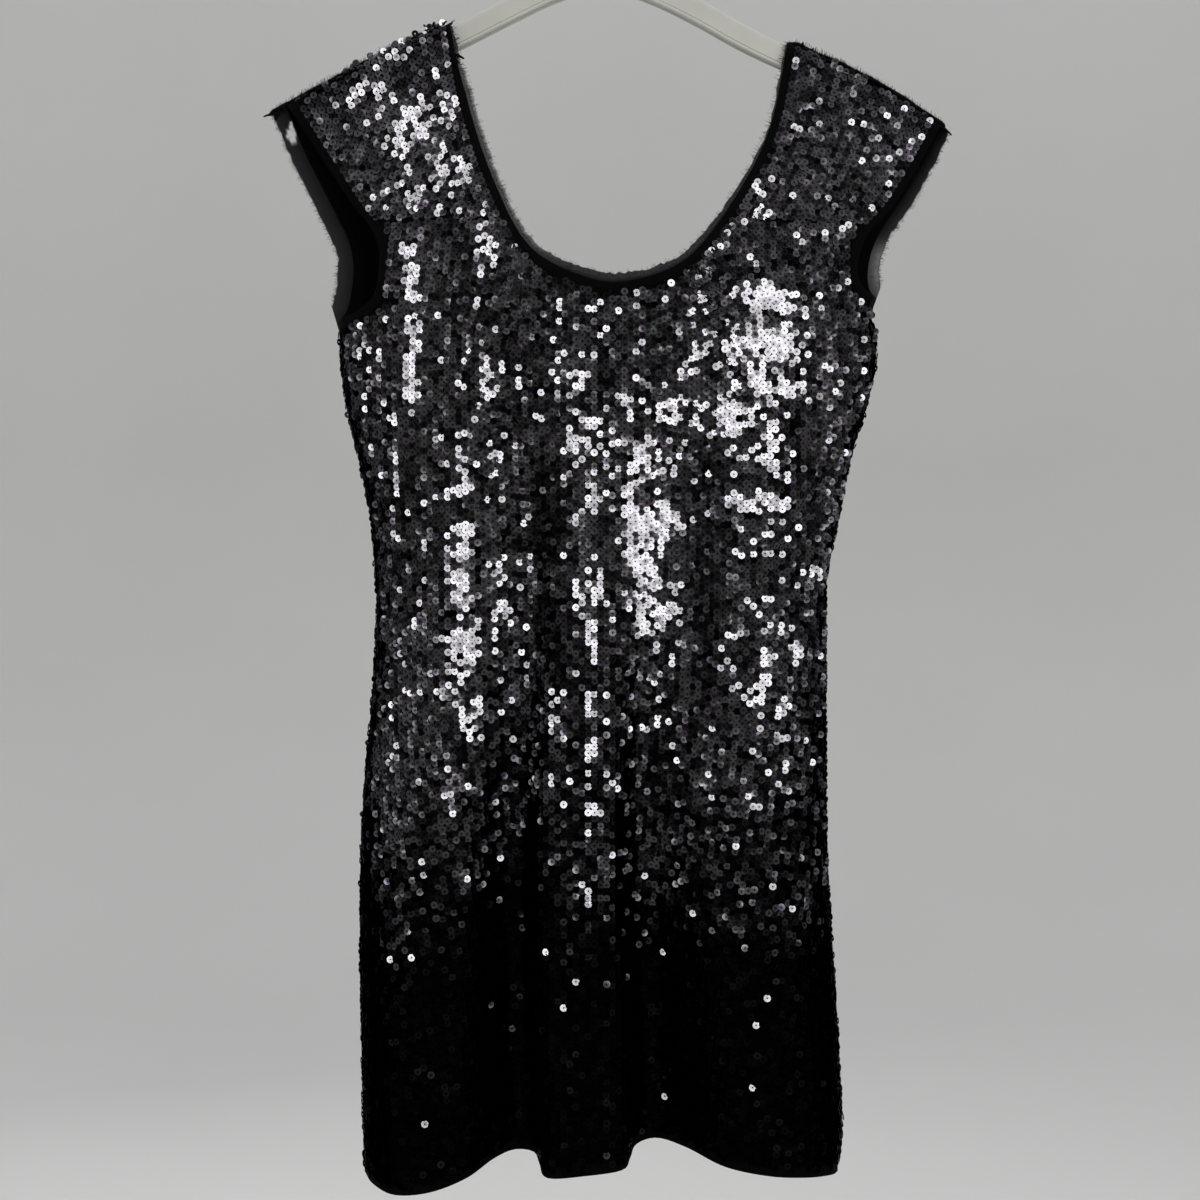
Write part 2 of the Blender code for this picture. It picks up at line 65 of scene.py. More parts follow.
# The shoulder line, where front and back meet over the hanger's arm: across, height.
SHOULDER_LINE = [
    (-240, -180.4), (-200, -158.2), (-160, -137.2), (-108.8, -112.5), (-72, -93.5), (-34, -74),
    (0, -64), (34, -74), (72, -93.5), (101.5, -110.4), (135.1, -127.2), (170, -142.6), (205, -162),
    (250, -192),
]

# The dress's outline from the front, sleeve tip to hem: height, left edge, right edge.
OUTLINE = [
    (-170, -233, 252), (-240, -211, 220), (-310, -189.3, 190), (-326.7, -184.1, 191.8),
    (-353, -182.7, 191), (-385, -177.8, 183.6), (-417.7, -170.1, 173.6), (-457.6, -162.2, 165.9),
    (-498.2, -158.4, 157.5), (-535, -157.9, 156.6), (-587, -161, 156.7), (-640, -165.9, 156.8),
    (-700, -169.1, 158), (-765.6, -169.1, 162), (-829, -168.4, 165.9), (-886, -167.2, 168),
    (-914.7, -165.9, 164.2),
]

# How far the cloth stands off the mid plane: drop below the shoulder line, front, back.
HANG = [
    (0, 0, 0), (1.2, 3.8, 3.8), (3, 5.7, 5.7), (8, 8, 8), (20, 9.5, 9.5), (50, 15, 14), (100, 28, 21),
    (150, 40, 27), (200, 48, 32), (280, 50, 35), (380, 45, 32), (500, 46, 34), (650, 50, 37),
    (860, 53, 39),
]
# From side to side: the first millimetres of depth, which last almost to the edges, and how squarely they
# end there; how round and how full the rest is; and how squarely a crease ends at the edges.
WRAP_DEPTH = 8.0
WRAP_SQUARENESS = 12
ROUNDNESS = 2.4
FULLNESS = 0.55
CREASE_SQUARENESS = 8

# The neckline, from the left high shoulder round to the right one: across, height.
NECK_FRONT = [
    (-108.8, -112.5), (-100, -166), (-80, -229), (-53, -280), (-12, -303), (22, -305), (62, -288),
    (97, -242), (122, -189), (135.1, -127.2),
]
NECK_BACK = [
    (-108.8, -112.5), (-100, -166), (-82, -229), (-55, -282), (-14, -307), (24, -309), (64, -291),
    (99, -243), (122, -189), (135.1, -127.2),
]

# The armholes, from the shoulder down to the underarm: across, height.
ARMHOLE_LEFT_FRONT = [
    (-215, -166.6), (-188, -207.5), (-165.5, -241.5), (-149.5, -264), (-147.2, -292), (-156, -316),
    (-184.1, -326.7),
]
ARMHOLE_LEFT_BACK = [
    (-216, -168), (-203, -200), (-185, -236), (-173, -262), (-170.5, -285), (-175, -312),
    (-184.1, -326.7),
]
ARMHOLE_RIGHT_FRONT = [
    (231.7, -180.2), (216, -209), (197, -239), (178, -261), (170.5, -284), (174, -301), (190, -310),
]
ARMHOLE_RIGHT_BACK = [
    (232, -180.4), (221, -204), (206, -230), (190, -255), (182.5, -278), (183, -297), (190, -310),
]

# The hem seen from below, a row for each crest, flank or trough: across, depth, height.
HEM_FRONT = [
    (-165.9, 0, -914.7), (-157, -26, -915.5), (-140, -47, -916.5), (-116, -50, -914), (-92, -38, -908),
    (-75, -17, -901), (-61, -5, -898), (-47.5, -9, -898.5), (-43, -28, -901), (-37, -49, -904.5),
    (-11, -56, -901), (13.5, -51, -898.5), (19, -29, -897), (23.5, -8, -893.5), (38, -1, -891),
    (58, -14, -894), (83, -37, -900.5), (112, -50, -903), (138, -45, -905.5), (157, -24, -910),
    (164.2, 0, -914.7),
]
HEM_BACK = [
    (-165.9, 0, -914.7), (-156, 22, -915), (-130, 38, -912), (-95, 31, -907), (-60, 43, -904.5),
    (-16, 33, -901.5), (34, 44, -899.5), (80, 32, -900.5), (124, 39, -905), (155, 22, -911),
    (164.2, 0, -914.7),
]
HEM_BAND_HEIGHT = 5.0
HEM_BAND_WALL = 1.0
# Its rows of points, down from the last row of the panel.
HEM_BAND_DROPS = (-1.0, 0.6, 2.0, 3.6, HEM_BAND_HEIGHT)
HEM_SIDE_HEIGHT = -914.7

# How much of the hem's wave is left further up: height, share.
WAVE_REACH = [
    (-255, 0), (-330, 0.03), (-420, 0.11), (-520, 0.24), (-620, 0.42), (-720, 0.66), (-800, 0.86),
    (-860, 0.97), (-915, 1),
]

# Soft creases: top across, top height, foot across, foot height, half width, depth (inwards positive).
CREASES_FRONT = [
    (-40, -290, -50, -600, 17, 4.5), (72, -370, 62, -640, 15, 4.5), (-118, -315, -110, -450, 11, 3),
    (-15, -360, -22, -640, 12, -2.5), (112, -300, 116, -480, 24, -3.5),
    (-140, -270, -136, -420, 12, -2.5), (28, -340, 22, -560, 16, -3), (-104, -450, -112, -720, 14, -3),
]
CREASES_BACK = [
    (-60, -340, -66, -640, 18, -4), (20, -360, 12, -700, 18, -4), (96, -330, 90, -620, 16, -3.5),
    (-120, -300, -116, -500, 14, -3), (58, -420, 56, -720, 14, 2.5),
]

# Where the straps begin, and how far up the body the underarm lies, of 1.
YOKE_FRONT = -255.0
YOKE_BACK = -258.0
UNDERARM_ROW = 0.9
# The CAD's own columns and rows, which its edges follow: strap, under the neck, body rows, armhole rows.
EDGE_GRID = (8, 26, 16, 5)
EDGE_STRAP = (0.15, 0.3, 0.45, 0.6, 0.74, 0.85, 0.92, 0.96, 0.985, 1.0)
# The finer ones that the cloth is drawn with.
CLOTH_GRID = (20, 66, 108, 14)
CLOTH_STRAP = tuple(np.linspace(0.045, 0.9, 20)) + (0.93, 0.955, 0.972, 0.984, 0.993, 1.0)

# The binding tape: its width, how far it laps in over the cloth, what its fold adds, its wall, its rows
# and how far it swells.
BINDING_WIDTH = 5.5
BINDING_LAP = 1.2
BINDING_FOLD = 1.5
BINDING_WALL = 1.1
BINDING_STEPS = 7
BINDING_SWELL = 0.5
# How wide the neck's is at each share of its length, from the left shoulder to the right.
NECK_BINDING_WIDTHS = [(0, 2.2), (0.05, 3.2), (0.11, 5.5), (1, 5.5)]
# The gauze past the neck binding: share of the way round, width.
NECK_GAUZE_WIDTHS = [
    (0, 1), (0.06, 2.5), (0.1, 4.5), (0.15, 4.5), (0.35, 4), (0.5, 5.8), (0.7, 3.2), (0.85, 0.8),
    (1, 0.6),
]
ARMHOLE_GAUZE_WIDTHS = {"left": 10.0, "right": 7.0}
# The gauze starts so far inside the binding's line, and is so much wider than what shows of it.
GAUZE_LAP = 1.5
GAUZE_HIDDEN = 2.0
GAUZE_WALL = 0.25
GAUZE_STEPS = 8
GAUZE_SINK = -0.35
GAUZE_RAGGEDNESS = 0.45
# How late across its width the gauze turns from dense to sheer.
GAUZE_FADE = 1.4
# How see-through each raw edge is along its length: share, at the binding, at its outer edge. The neck's
# runs from the left shoulder, the armholes' from the underarm.
GAUZE_SHEER = {
    "neck": [
        (0, 0.02, 0.1), (0.04, 0.03, 0.25), (0.07, 0.02, 0.8), (0.33, 0.02, 0.8), (0.44, 0.02, 0.22),
        (0.75, 0.02, 0.18), (1, 0.05, 0.5),
    ],
    "armhole_left": [(0, 0.08, 0.16), (0.2, 0.06, 0.12), (1, 0.05, 0.09)],
    "armhole_right": [(0, 0.16, 0.5), (0.3, 0.26, 0.55), (0.4, 0.04, 0.14), (1, 0, 0.06)],
}
# The small gap torn in the left raw edge near the shoulder: across, height, half width, half height. Its
# top is so much of that width, and it flares so much on the way down.
TORN_GAP = (-218.5, -185.5, 3.8, 7.5)
TORN_TOP = 0.2
TORN_FLARE = 0.9

# The hanger's arms: how far they lie below the shoulder line, and half their thickness.
ARM_DROP = 2.8
ARM_HALF_THICK = 4.2
# How high the arm's section is: distance from the middle, height.
ARM_HEIGHTS = [(0, 20), (60, 16.5), (120, 15.5), (190, 13.5), (210, 10)]
# The bead on the arms: distance from the middle, radius. Then where it ends, how far it lies above their
# lower edge and how deep its middle is sunk.
BEAD_RADII = [(110, 1.4), (150, 0.9), (206, 0.6)]
BEAD_REACH = 206.0
BEAD_RISE = 0.3
BEAD_SINK = 0.5

# ---------------------------------------------------------------- seams and threads

# The two seams' ends. Along them runs a ridge: its points' step, its radius, how far it lies over the
# shoulder line, how long its ends taper, and how far chance sways, waves and swells it.
SHOULDER_SEAMS = ((-233.0, -109.0), (133.5, 241.0))
RIDGE_STEP = 1.5
RIDGE_RADIUS = 2.1
RIDGE_RISE = 1.0
RIDGE_TAPER = 4.0
RIDGE_SWAY = 0.4
RIDGE_WAVE = 0.35
RIDGE_SWELL = 0.3
LOOP_SCATTER = 0.12
# The stretch of the left shoulder where sequins roll over the seam.
ROLLED_SEAM = (-178.0, -112.0)
# Loose ends of thread and cloth at the seams: across, depth, height, way across, way up, length, radius.
LOOSE_ENDS = [
    (-225, -1, -175, -1, 0.12, 10, 1.5), (-221, -1.5, -173, -0.5, 0.85, 4.5, 1.9),
    (-214, -1.5, -169, -0.3, 0.95, 4, 1.7), (-227, 1, -175, -0.4, -0.9, 5, 0.8),
    (-123, -2, -116, -0.3, 0.95, 5, 1.3), (-118, -2, -114.5, 0.15, 0.98, 5.5, 1.4),
    (-111, -2, -113, 0.5, 0.86, 4.5, 1.4), (-106.5, -2.5, -121, 0.9, 0.3, 3, 0.9),
    (-104.5, -8, -130, 0.95, -0.1, 3, 0.9), (-104.5, -15, -137, 1, -0.12, 8, 1.7),
    (-103, -16, -140, 0.8, -0.5, 5, 1.2), (134, -2, -127, -0.7, 0.7, 4, 1.4),
    (140, -2, -128, 0.1, 1, 4, 1.3), (147, -2, -131, 0.3, 0.95, 3, 1),
    (236, -1, -183, 0.85, -0.5, 8.5, 1.5), (233, -1, -180.5, 0.5, 0.8, 3, 1.2),
]
# How far they lean to the front, curl and sag as shares of their length, and how thin their tips are.
LOOSE_FORWARD = 0.15
LOOSE_CURL = 0.15
LOOSE_SAG = 0.35
LOOSE_TIP = 0.35
LOOSE_STEPS = 6
# Yarns at a raw edge: the shortest, how much longer the longest are, how far their roots sit in the gauze
# and keep from its ends, and how unevenly they stand and lean, less in depth.
YARN_LEAST = 1.0
YARN_REACH = 2.9
YARN_REACH_NECK = 4.8
YARN_ROOT = 0.6
YARN_MARGIN = 1.0
YARN_SLIP = 0.4
YARN_SCATTER = 0.28
YARN_FLATNESS = 0.7

# ---------------------------------------------------------------- how the sequins are sewn

# The threads lie evenly to both sides of this place, and keep so far from the side seams; those of a
# strap leave so much of its width free.
MIDDLE_X = 1.0
SEAM_MARGIN = 1.2
STRAP_MARGIN = 2.0
# How far from a thread's two ends the sequins keep, and how unevenly they are strung.
BODY_ENDS = (0.6, 1.6)
STRAP_ENDS = (0.2, 1.4)
STITCH_SLIP = 0.22
# How far they stand off the cloth: at least, and more by chance.
PROUD = 0.55
PROUD_SPREAD = 0.75
# Those that roll over the left shoulder seam, in pairs: the step between pairs, how unevenly they lie, how
# far they rise over the seam, their depth there and how it slants as they rise, and the way they face.
ROLLED_STEP = 3.6
ROLLED_SLIP = 0.8
ROLLED_RISE = (-1.0, 3.2)
ROLLED_DEPTH = -1.6
ROLLED_SLANT = 0.3
ROLLED_WAY = (0.0, -1.0, 0.35)
ROLLED_SCATTER = 0.25
# A ring's corners, and how far it may be turned about its hole, in radians.
RING_SIDES = 10
ANY_TURN = 3.14

# ---------------------------------------------------------------- what the sequins do with the light

# The photographer's place and the lamp beside it, and the same behind the dress: across, depth, height.
EYE_FRONT = (3.5, -1300.0, -515.0)
LAMP_FRONT = (430.0, -1500.0, -90.0)
EYE_BACK = (3.5, 1300.0, -515.0)
LAMP_BACK = (-520.0, 1500.0, 60.0)

# Where sequins lie flat enough to flash: across, height, half width, half height, share that flash, and
# the patch's lean where it has one.
GLEAMS_FRONT = [
    (14, -420, 34, 46, 0.3), (88, -372, 44, 44, 0.25), (-171, -164, 5, 10, 0.6),
    (-157, -159, 6, 8, 0.7), (-132, -188, 17, 28, 0.58), (-108, -168, 8, 22, 0.42),
    (-106, -215, 16, 20, 0.58, 0.2), (-140, -231, 18, 10, 0.45), (-136, -270, 7, 6, 0.8),
    (-134, -287, 7, 8, 0.9), (-132, -302, 5, 6, 0.85), (-133, -322, 6, 12, 0.88),
    (-131, -341, 5, 5, 0.8), (-135, -354, 5, 7, 0.85), (-134, -374, 4, 13, 0.8),
    (-142, -390, 8, 5, 0.7), (-80, -267, 8, 18, 0.42), (-137, -133, 10, 5, 0.55, 0.4),
    (-81, -367, 6, 30, 0.5), (-97, -357, 3, 16, 0.4), (-27, -352, 8, 8, 0.75), (-15, -365, 6, 5, 0.8),
    (-8, -388, 13, 6, 0.7), (-15, -404, 11, 9, 0.72), (-18, -356, 9, 8, 0.4), (15, -373, 7, 6, 0.75),
    (16, -406, 12, 10, 0.5), (-98, -431, 7, 13, 0.82), (-78, -417, 9, 12, 0.45),
    (-143, -430, 4, 11, 0.6), (-99, -475, 7, 12, 0.92), (-100, -509, 8, 20, 0.82),
    (-98, -548, 15, 17, 0.86), (-111, -578, 9, 8, 0.65), (-91, -593, 10, 13, 0.58),
    (-92, -604, 8, 10, 0.6), (-72, -495, 4, 12, 0.85), (-70, -523, 6, 12, 0.72),
    (-14, -409, 12, 9, 0.68), (-5, -445, 10, 9, 0.7), (-17, -460, 4, 9, 0.7), (-4, -508, 7, 12, 0.7),
    (-15, -515, 3, 14, 0.75), (-8, -543, 3.4, 13, 0.95), (-8, -587, 4.5, 12, 0.85),
    (-7, -623, 4, 9, 0.85), (-8, -648, 3, 26, 0.6), (-8, -721, 4, 5, 0.8), (-34, -580, 9, 7, 0.6, -0.5),
    (-34, -600, 3, 8, 0.8), (-69, -571, 4, 3, 0.9), (-151, -594, 3, 14, 0.6), (-106, -658, 3, 11, 0.6),
    (114, -304, 19, 11, 0.82, -0.4), (114, -336, 27, 17, 0.84), (90, -386, 12, 15, 0.94),
    (120, -367, 16, 9, 0.78), (115, -406, 12, 16, 0.55), (49, -382, 13, 10, 0.85),
    (107, -446, 25, 8, 0.78), (38, -415, 24, 18, 0.5), (62, -352, 10, 20, 0.3),
    (37, -462, 20, 16, 0.78), (25, -493, 11, 22, 0.85), (-8, -504, 10, 9, 0.6), (50, -506, 5, 8, 0.6),
    (20, -459, 8, 22, 0.75), (30, -484, 14, 11, 0.88), (16, -504, 4, 16, 0.7), (27, -517, 5, 18, 0.85),
    (37, -504, 6, 7, 0.8), (43, -524, 12, 8, 0.92), (51, -507, 5, 7, 0.8), (27, -538, 14, 3, 0.5),
    (37, -549, 5, 6, 0.75), (109, -480, 6, 9, 0.5), (148, -496, 6, 5, 0.85), (120, -536, 13, 6, 0.6),
    (116, -563, 6, 13, 0.72), (136, -554, 4, 12, 0.8), (109, -585, 5, 12, 0.72),
    (128, -589, 6, 9, 0.65), (117, -608, 12, 7, 0.6), (92, -572, 6, 8, 0.6), (96, -539, 5, 9, 0.42),
    (112, -470, 20, 16, 0.22), (104, -655, 8, 16, 0.28), (128, -640, 5, 10, 0.4),
    (190, -186, 14, 40, 0.05, 0.3),
]
# Where many sequins only glimmer, turned a little past the lamp: the same columns.
GLIMMERS_FRONT = [
    (-172, -203, 20, 26, 0.45), (-150, -385, 18, 34, 0.32), (-134, -556, 24, 70, 0.4, -0.1),
    (-125, -628, 38, 52, 0.36), (-148, -640, 18, 64, 0.55), (100, -625, 20, 20, 0.35),
    (-194, -193, 18, 28, 0.55, -0.4), (-139, -133, 30, 13, 0.55, 0.5), (-186, -172, 16, 13, 0.4),
    (-120, -200, 34, 60, 0.22), (158, -380, 15, 85, 0.62, -0.05), (104, -350, 60, 70, 0.24),
    (36, -470, 30, 70, 0.28), (104, -450, 34, 40, 0.22), (-94, -520, 40, 90, 0.24),
    (116, -560, 26, 60, 0.26), (-94, -650, 36, 50, 0.2), (106, -660, 30, 50, 0.2),
    (196, -196, 26, 34, 0.22, 0.3), (-120, -500, 4, 36, 0.85, -0.1), (-128, -555, 4.5, 40, 0.88, -0.12),
    (-134, -605, 7, 28, 0.85, -0.1), (-152, -520, 6, 22, 0.65, 0.1), (-118, -602, 7, 8, 0.7),
    (-60, -412, 3, 26, 0.75), (-49, -500, 2.8, 60, 0.8, 0.03), (-14, -480, 6, 26, 0.7),
    (-46, -640, 3, 40, 0.75), (76, -632, 4.5, 32, 0.8), (-141, -635, 9, 16, 0.6),
    (-112, -620, 8, 30, 0.55, -0.05), (-60, -560, 3, 40, 0.5), (140, -500, 4, 60, 0.5),
    (62, -540, 3, 50, 0.4), (35, -578, 9, 18, 0.5), (12, -560, 3, 40, 0.4), (113, -655, 12, 22, 0.4),
    (-170, -340, 5, 60, 0.5, 0.1),
]
# Dark streaks where the cloth turns away: the same columns, with the share of the light that goes.
SHADED_FRONT = [
    (72, -525, 12, 75, 0.8), (70, -432, 9, 28, 0.7), (-38, -466, 13, 56, 0.8),
    (-32, -540, 14, 38, 0.75), (-131, -455, 12, 8, 0.6), (-56, -336, 18, 36, 0.45),
    (-66, -385, 13, 24, 0.45), (-64, -613, 12, 60, 0.5), (-80, -640, 8, 30, 0.5),
    (51, -623, 15, 64, 0.5), (30, -640, 20, 40, 0.35), (84, -420, 5, 16, 0.6),
]
GLEAMS_BACK = [
    (-130, -190, 20, 40, 0.3), (150, -200, 18, 40, 0.36), (-66, -440, 13, 90, 0.7, 0.05),
    (-60, -580, 9, 70, 0.5), (16, -400, 12, 70, 0.55), (14, -520, 14, 60, 0.8),
    (94, -380, 16, 60, 0.75), (90, -520, 9, 70, 0.45), (-120, -400, 9, 70, 0.4),
    (130, -560, 8, 60, 0.3), (-20, -640, 8, 50, 0.25),
]
# Away from the streaks no light goes: height, share.
UNSHADED = [(-1000, 0), (0, 0)]
# Single flashing sequins low on the skirt: across, height.
STRAYS_FRONT = [
    (-147, -764), (-132, -764), (-20, -783), (-28, -801), (106, -814), (114, -792), (105, -857),
    (43, -861), (-125, -881), (121, -716), (31, -707), (-10, -718), (44, -760), (-38, -760),
]
# How much light the film gives back at each height, front and back, as painted shade that fades the skirt
# to black below the hips: height, the usual share, how widely it varies from one sequin to the next.
PAINTED_FILM_FADE = [
    (-100, 0.46, 0.6), (-250, 0.4, 0.7), (-480, 0.38, 0.8), (-560, 0.32, 0.85), (-620, 0.25, 0.9),
    (-680, 0.15, 1.1), (-725, 0.085, 1.3), (-745, 0.05, 1.2), (-760, 0.02, 1), (-785, 0.013, 0.9),
    (-920, 0.012, 0.8),
]
# How much higher or lower the painted fade to black sets in than usual: across, added to the height.
FADE_SHIFT = [
    (-190, 22), (-150, 18), (-120, 8), (-100, -20), (-80, -52), (-55, -66), (-38, -12), (0, -4),
    (30, -14), (60, -2), (110, 0), (165, 4),
]
# Share of sequins that flash away from the gleams: height, share.
LONE_FLASHES = [
    (-100, 0.045), (-300, 0.05), (-560, 0.045), (-640, 0.03), (-700, 0.014), (-735, 0.004), (-770, 0),
    (-920, 0),
]
# Share of sequins that glimmer away from the glimmers above: height, share.
LONE_GLIMMERS = [
    (-100, 0.17), (-480, 0.18), (-620, 0.18), (-690, 0.13), (-735, 0.05), (-765, 0.004), (-920, 0),
]

# How suddenly a patch ends at its edge, and how many sequins glimmer in a gleam, as a share of those that
# flash.
PATCH_EDGE = 1.6
GLIMMER_IN_GLEAM = 0.4
# How far the cloth may face from the lamp's mirror way where sequins still flash or glimmer, in radians.
FLASH_REACH = 0.95
GLIMMER_REACH = 1.15
# How far sequins lean off the cloth, off the lamp's mirror way where they flash or glimmer, and how far
# past it all the others face at least: radians.
USUAL_LEAN = 0.15
FLASH_LEAN = 0.02
GLIMMER_LEAN = 0.035
LEAST_PAST = 0.2
PAST_SPREAD = 0.12
# Neighbours flash together: how much of a sequin's rank it shares with its cell, the cell's width and
# height, how many cells there are across and down, and where they begin.
CLUMPING = 0.3
CLUMP = (4.1, 12.0)
CLUMPS = (130, 90)
CELLS_LEFT = -260.0
# The film's light away from flashes: its usual share, the painted sheen that glimmers and gleams add, the
# painted shade that a streak takes, how ragged its painted fade is, and how uneven it is by itself and in
# patches, so many millimetres wide and so many across and down.
FILM_BASE = 0.7
PAINTED_SHEEN_IN_GLIMMER = 1.2
PAINTED_SHEEN_IN_GLEAM = 0.2
SHADE_ON_FILM = 0.8
FADE_RAGGEDNESS = 7.0
UNEVENNESS = 1.4
PATCH_UNEVENNESS = 0.45
UNEVEN_PATCH = 15.0
UNEVEN_PATCHES = (64, 128)
UNEVEN_SINK = 0.15
# The least and most light of the usual film, painted shade included, and the painted highlight of glimmers
# and of flashes, which lean to the bright end.
FILM_LIMITS = (0.004, 0.62)
GLIMMER_LIGHT = (0.08, 0.66)
FLASH_LIGHT = (0.5, 1.0)
FLASH_BEND = 0.75
# How many times deeper than a flashing sequin the others are cupped, and how many have a violet tint.
USUAL_CUPPING = (2.0, 5.0)
TINTED_SHARE = 0.25

# ---------------------------------------------------------------- stage

# The camera stands at the photographer's place: its lens, and its shift for a photo that isn't centred.
LENS = 55.71
SIDE_SHIFT = -0.00583
DRESS_MIDDLE = (0.0, 0.0, -450.0)
# How much larger the lamp behind is than the lamp by the camera.
BACK_LAMP_SHARE = 1.4
# The paper sweep: its floor's height and flat radius, the cove's radius, the heights of the wall's rings.
SWEEP_FLOOR = -1350.0
SWEEP_FLAT = 2600.0
COVE = 1200.0
SWEEP_WALL = (600.0, 1500.0)
SWEEP_SIDES = 96


# ---------------------------------------------------------------- curves and sheets


def through(table, per_span=12):
    """A smooth curve through a table's rows, as closely spaced points."""
    rows = np.array(table, float)
    ends = np.vstack([2 * rows[0] - rows[1], rows, 2 * rows[-1] - rows[-2]])
    points = []
    for k in range(len(rows) - 1):
        before, here, there, after = ends[k : k + 4]
        for step in range(per_span):
            t = step / per_span
            straight = 2 * here + (there - before) * t
            bend = (2 * before - 5 * here + 4 * there - after) * t**2
            twist = (3 * here - before - 3 * there + after) * t**3
            points.append((straight + bend + twist) / 2)
    points.append(rows[-1])
    return np.array(points)


def lengths(curve):
    """Each point's distance along a curve."""
    steps = np.linalg.norm(np.diff(curve, axis=0), axis=1)
    return np.concatenate([[0.0], np.cumsum(steps)])


def shares_along(curve):
    """Each point's share of the way along a curve."""
    along = lengths(curve)
    return along / along[-1]


def between(values, at, wanted):
    """Rows of values that stand at distances along a line, read off at the wanted distances."""
    return np.stack([np.interp(wanted, at, column) for column in values.T], axis=1)


def spaced(curve, shares):
    """Points of a curve at the given shares of its length."""
    along = lengths(curve)
    return between(curve, along, np.array(shares) * along[-1])


def share_at(curve, height):
    """The share of a curve's length at which it first drops to a height."""
    along = lengths(curve)
    k = int(np.argmax(curve[:, 1] <= height))
    part = (curve[k - 1, 1] - height) / (curve[k - 1, 1] - curve[k, 1])
    return (along[k - 1] + part * (along[k] - along[k - 1])) / along[-1]


def unit(ways):
    """The same directions, each one long."""
    return ways / np.linalg.norm(ways, axis=-1, keepdims=True)


def read_off(table, at, column=-1):
    """One column of a table, its last unless said, at each value of its first."""
    rows = np.array(table, float)
    rows = rows[np.argsort(rows[:, 0])]
    return np.interp(at, rows[:, 0], rows[:, column])


SHOULDER_CURVE = through(SHOULDER_LINE)
OUTLINE_CURVE = through(OUTLINE)
WAVE_CURVE = through(WAVE_REACH)
HANG_CURVE = through(HANG)


def shoulder_height(x):
    """The shoulder line's height above places across the dress."""
    return read_off(SHOULDER_CURVE, x)


def shoulder_slope(x, reach):
    """The shoulder line's slope at places across the dress, taken over a reach to each side."""
    return (shoulder_height(x + reach) - shoulder_height(x - reach)) / (2 * reach)


def outline_at(z):
    """The outline's left and right edges at a height."""
    return read_off(OUTLINE_CURVE, z, 1), read_off(OUTLINE_CURVE, z, 2)


def crease_push(row, x, z):
    """One soft crease's push: a bell across it that fades at both ends."""
    x_top, z_top, x_foot, z_foot, half_width, depth = row
    along = np.clip((z_top - z) / (z_top - z_foot), 0.0, 1.0)
    middle = x_top + (x_foot - x_top) * along
    return depth * np.exp(-(((x - middle) / half_width) ** 2)) * np.sin(np.pi * along)


def stand_off(side, x, z):
    """How far the cloth's outer face is from the mid plane, at points seen from the front."""
    drop = np.maximum(0.0, shoulder_height(x) - z)
    hang = read_off(HANG_CURVE, drop, 1 if side < 0 else 2)
    left, right = outline_at(z)
    across = np.minimum(1.0, np.abs(2 * (x - left) / (right - left) - 1))
    wrap = np.minimum(hang, WRAP_DEPTH)
    wrapped = wrap * np.sqrt(1 - across**WRAP_SQUARENESS)
    filled = (hang - wrap) * (1 - across**ROUNDNESS) ** FULLNESS
    creases = CREASES_FRONT if side < 0 else CREASES_BACK
    pushed = sum(crease_push(row, x, z) for row in creases)
    return HALF_SEAM + wrapped + filled - pushed * (1 - across**CREASE_SQUARENESS)


def patch(bottom, top, left, right, rows):
    """A sheet between four edges: bottom and top share its columns, left and right its rows."""
    u = np.linspace(0, 1, len(bottom))[None, :, None]
    v = np.array(rows)[:, None, None]
    low = (1 - u) * bottom[0] + u * bottom[-1]
    high = (1 - u) * top[0] + u * top[-1]
    ends = (1 - u) * left[:, None] + u * right[:, None]
    return ends + (1 - v) * (bottom[None] - low) + v * (top[None] - high)


def side_edge(column, armhole, share, body_rows, arm_rows):
    """A panel's side from the hem to the yoke: up the side seam, then up the armhole."""
    foot = HEM_SIDE_HEIGHT + HEM_BAND_HEIGHT
    heights = np.linspace(foot, armhole[-1, 1], body_rows + 1)[:-1]
    seam = np.stack([outline_at(heights)[column], heights], axis=1)
    return np.vstack([seam, spaced(armhole, np.linspace(1, share, arm_rows + 1))])


CUTS = {
    "front": (-1, NECK_FRONT, ARMHOLE_LEFT_FRONT, ARMHOLE_RIGHT_FRONT, HEM_FRONT, YOKE_FRONT),
    "back": (1, NECK_BACK, ARMHOLE_LEFT_BACK, ARMHOLE_RIGHT_BACK, HEM_BACK, YOKE_BACK),
}


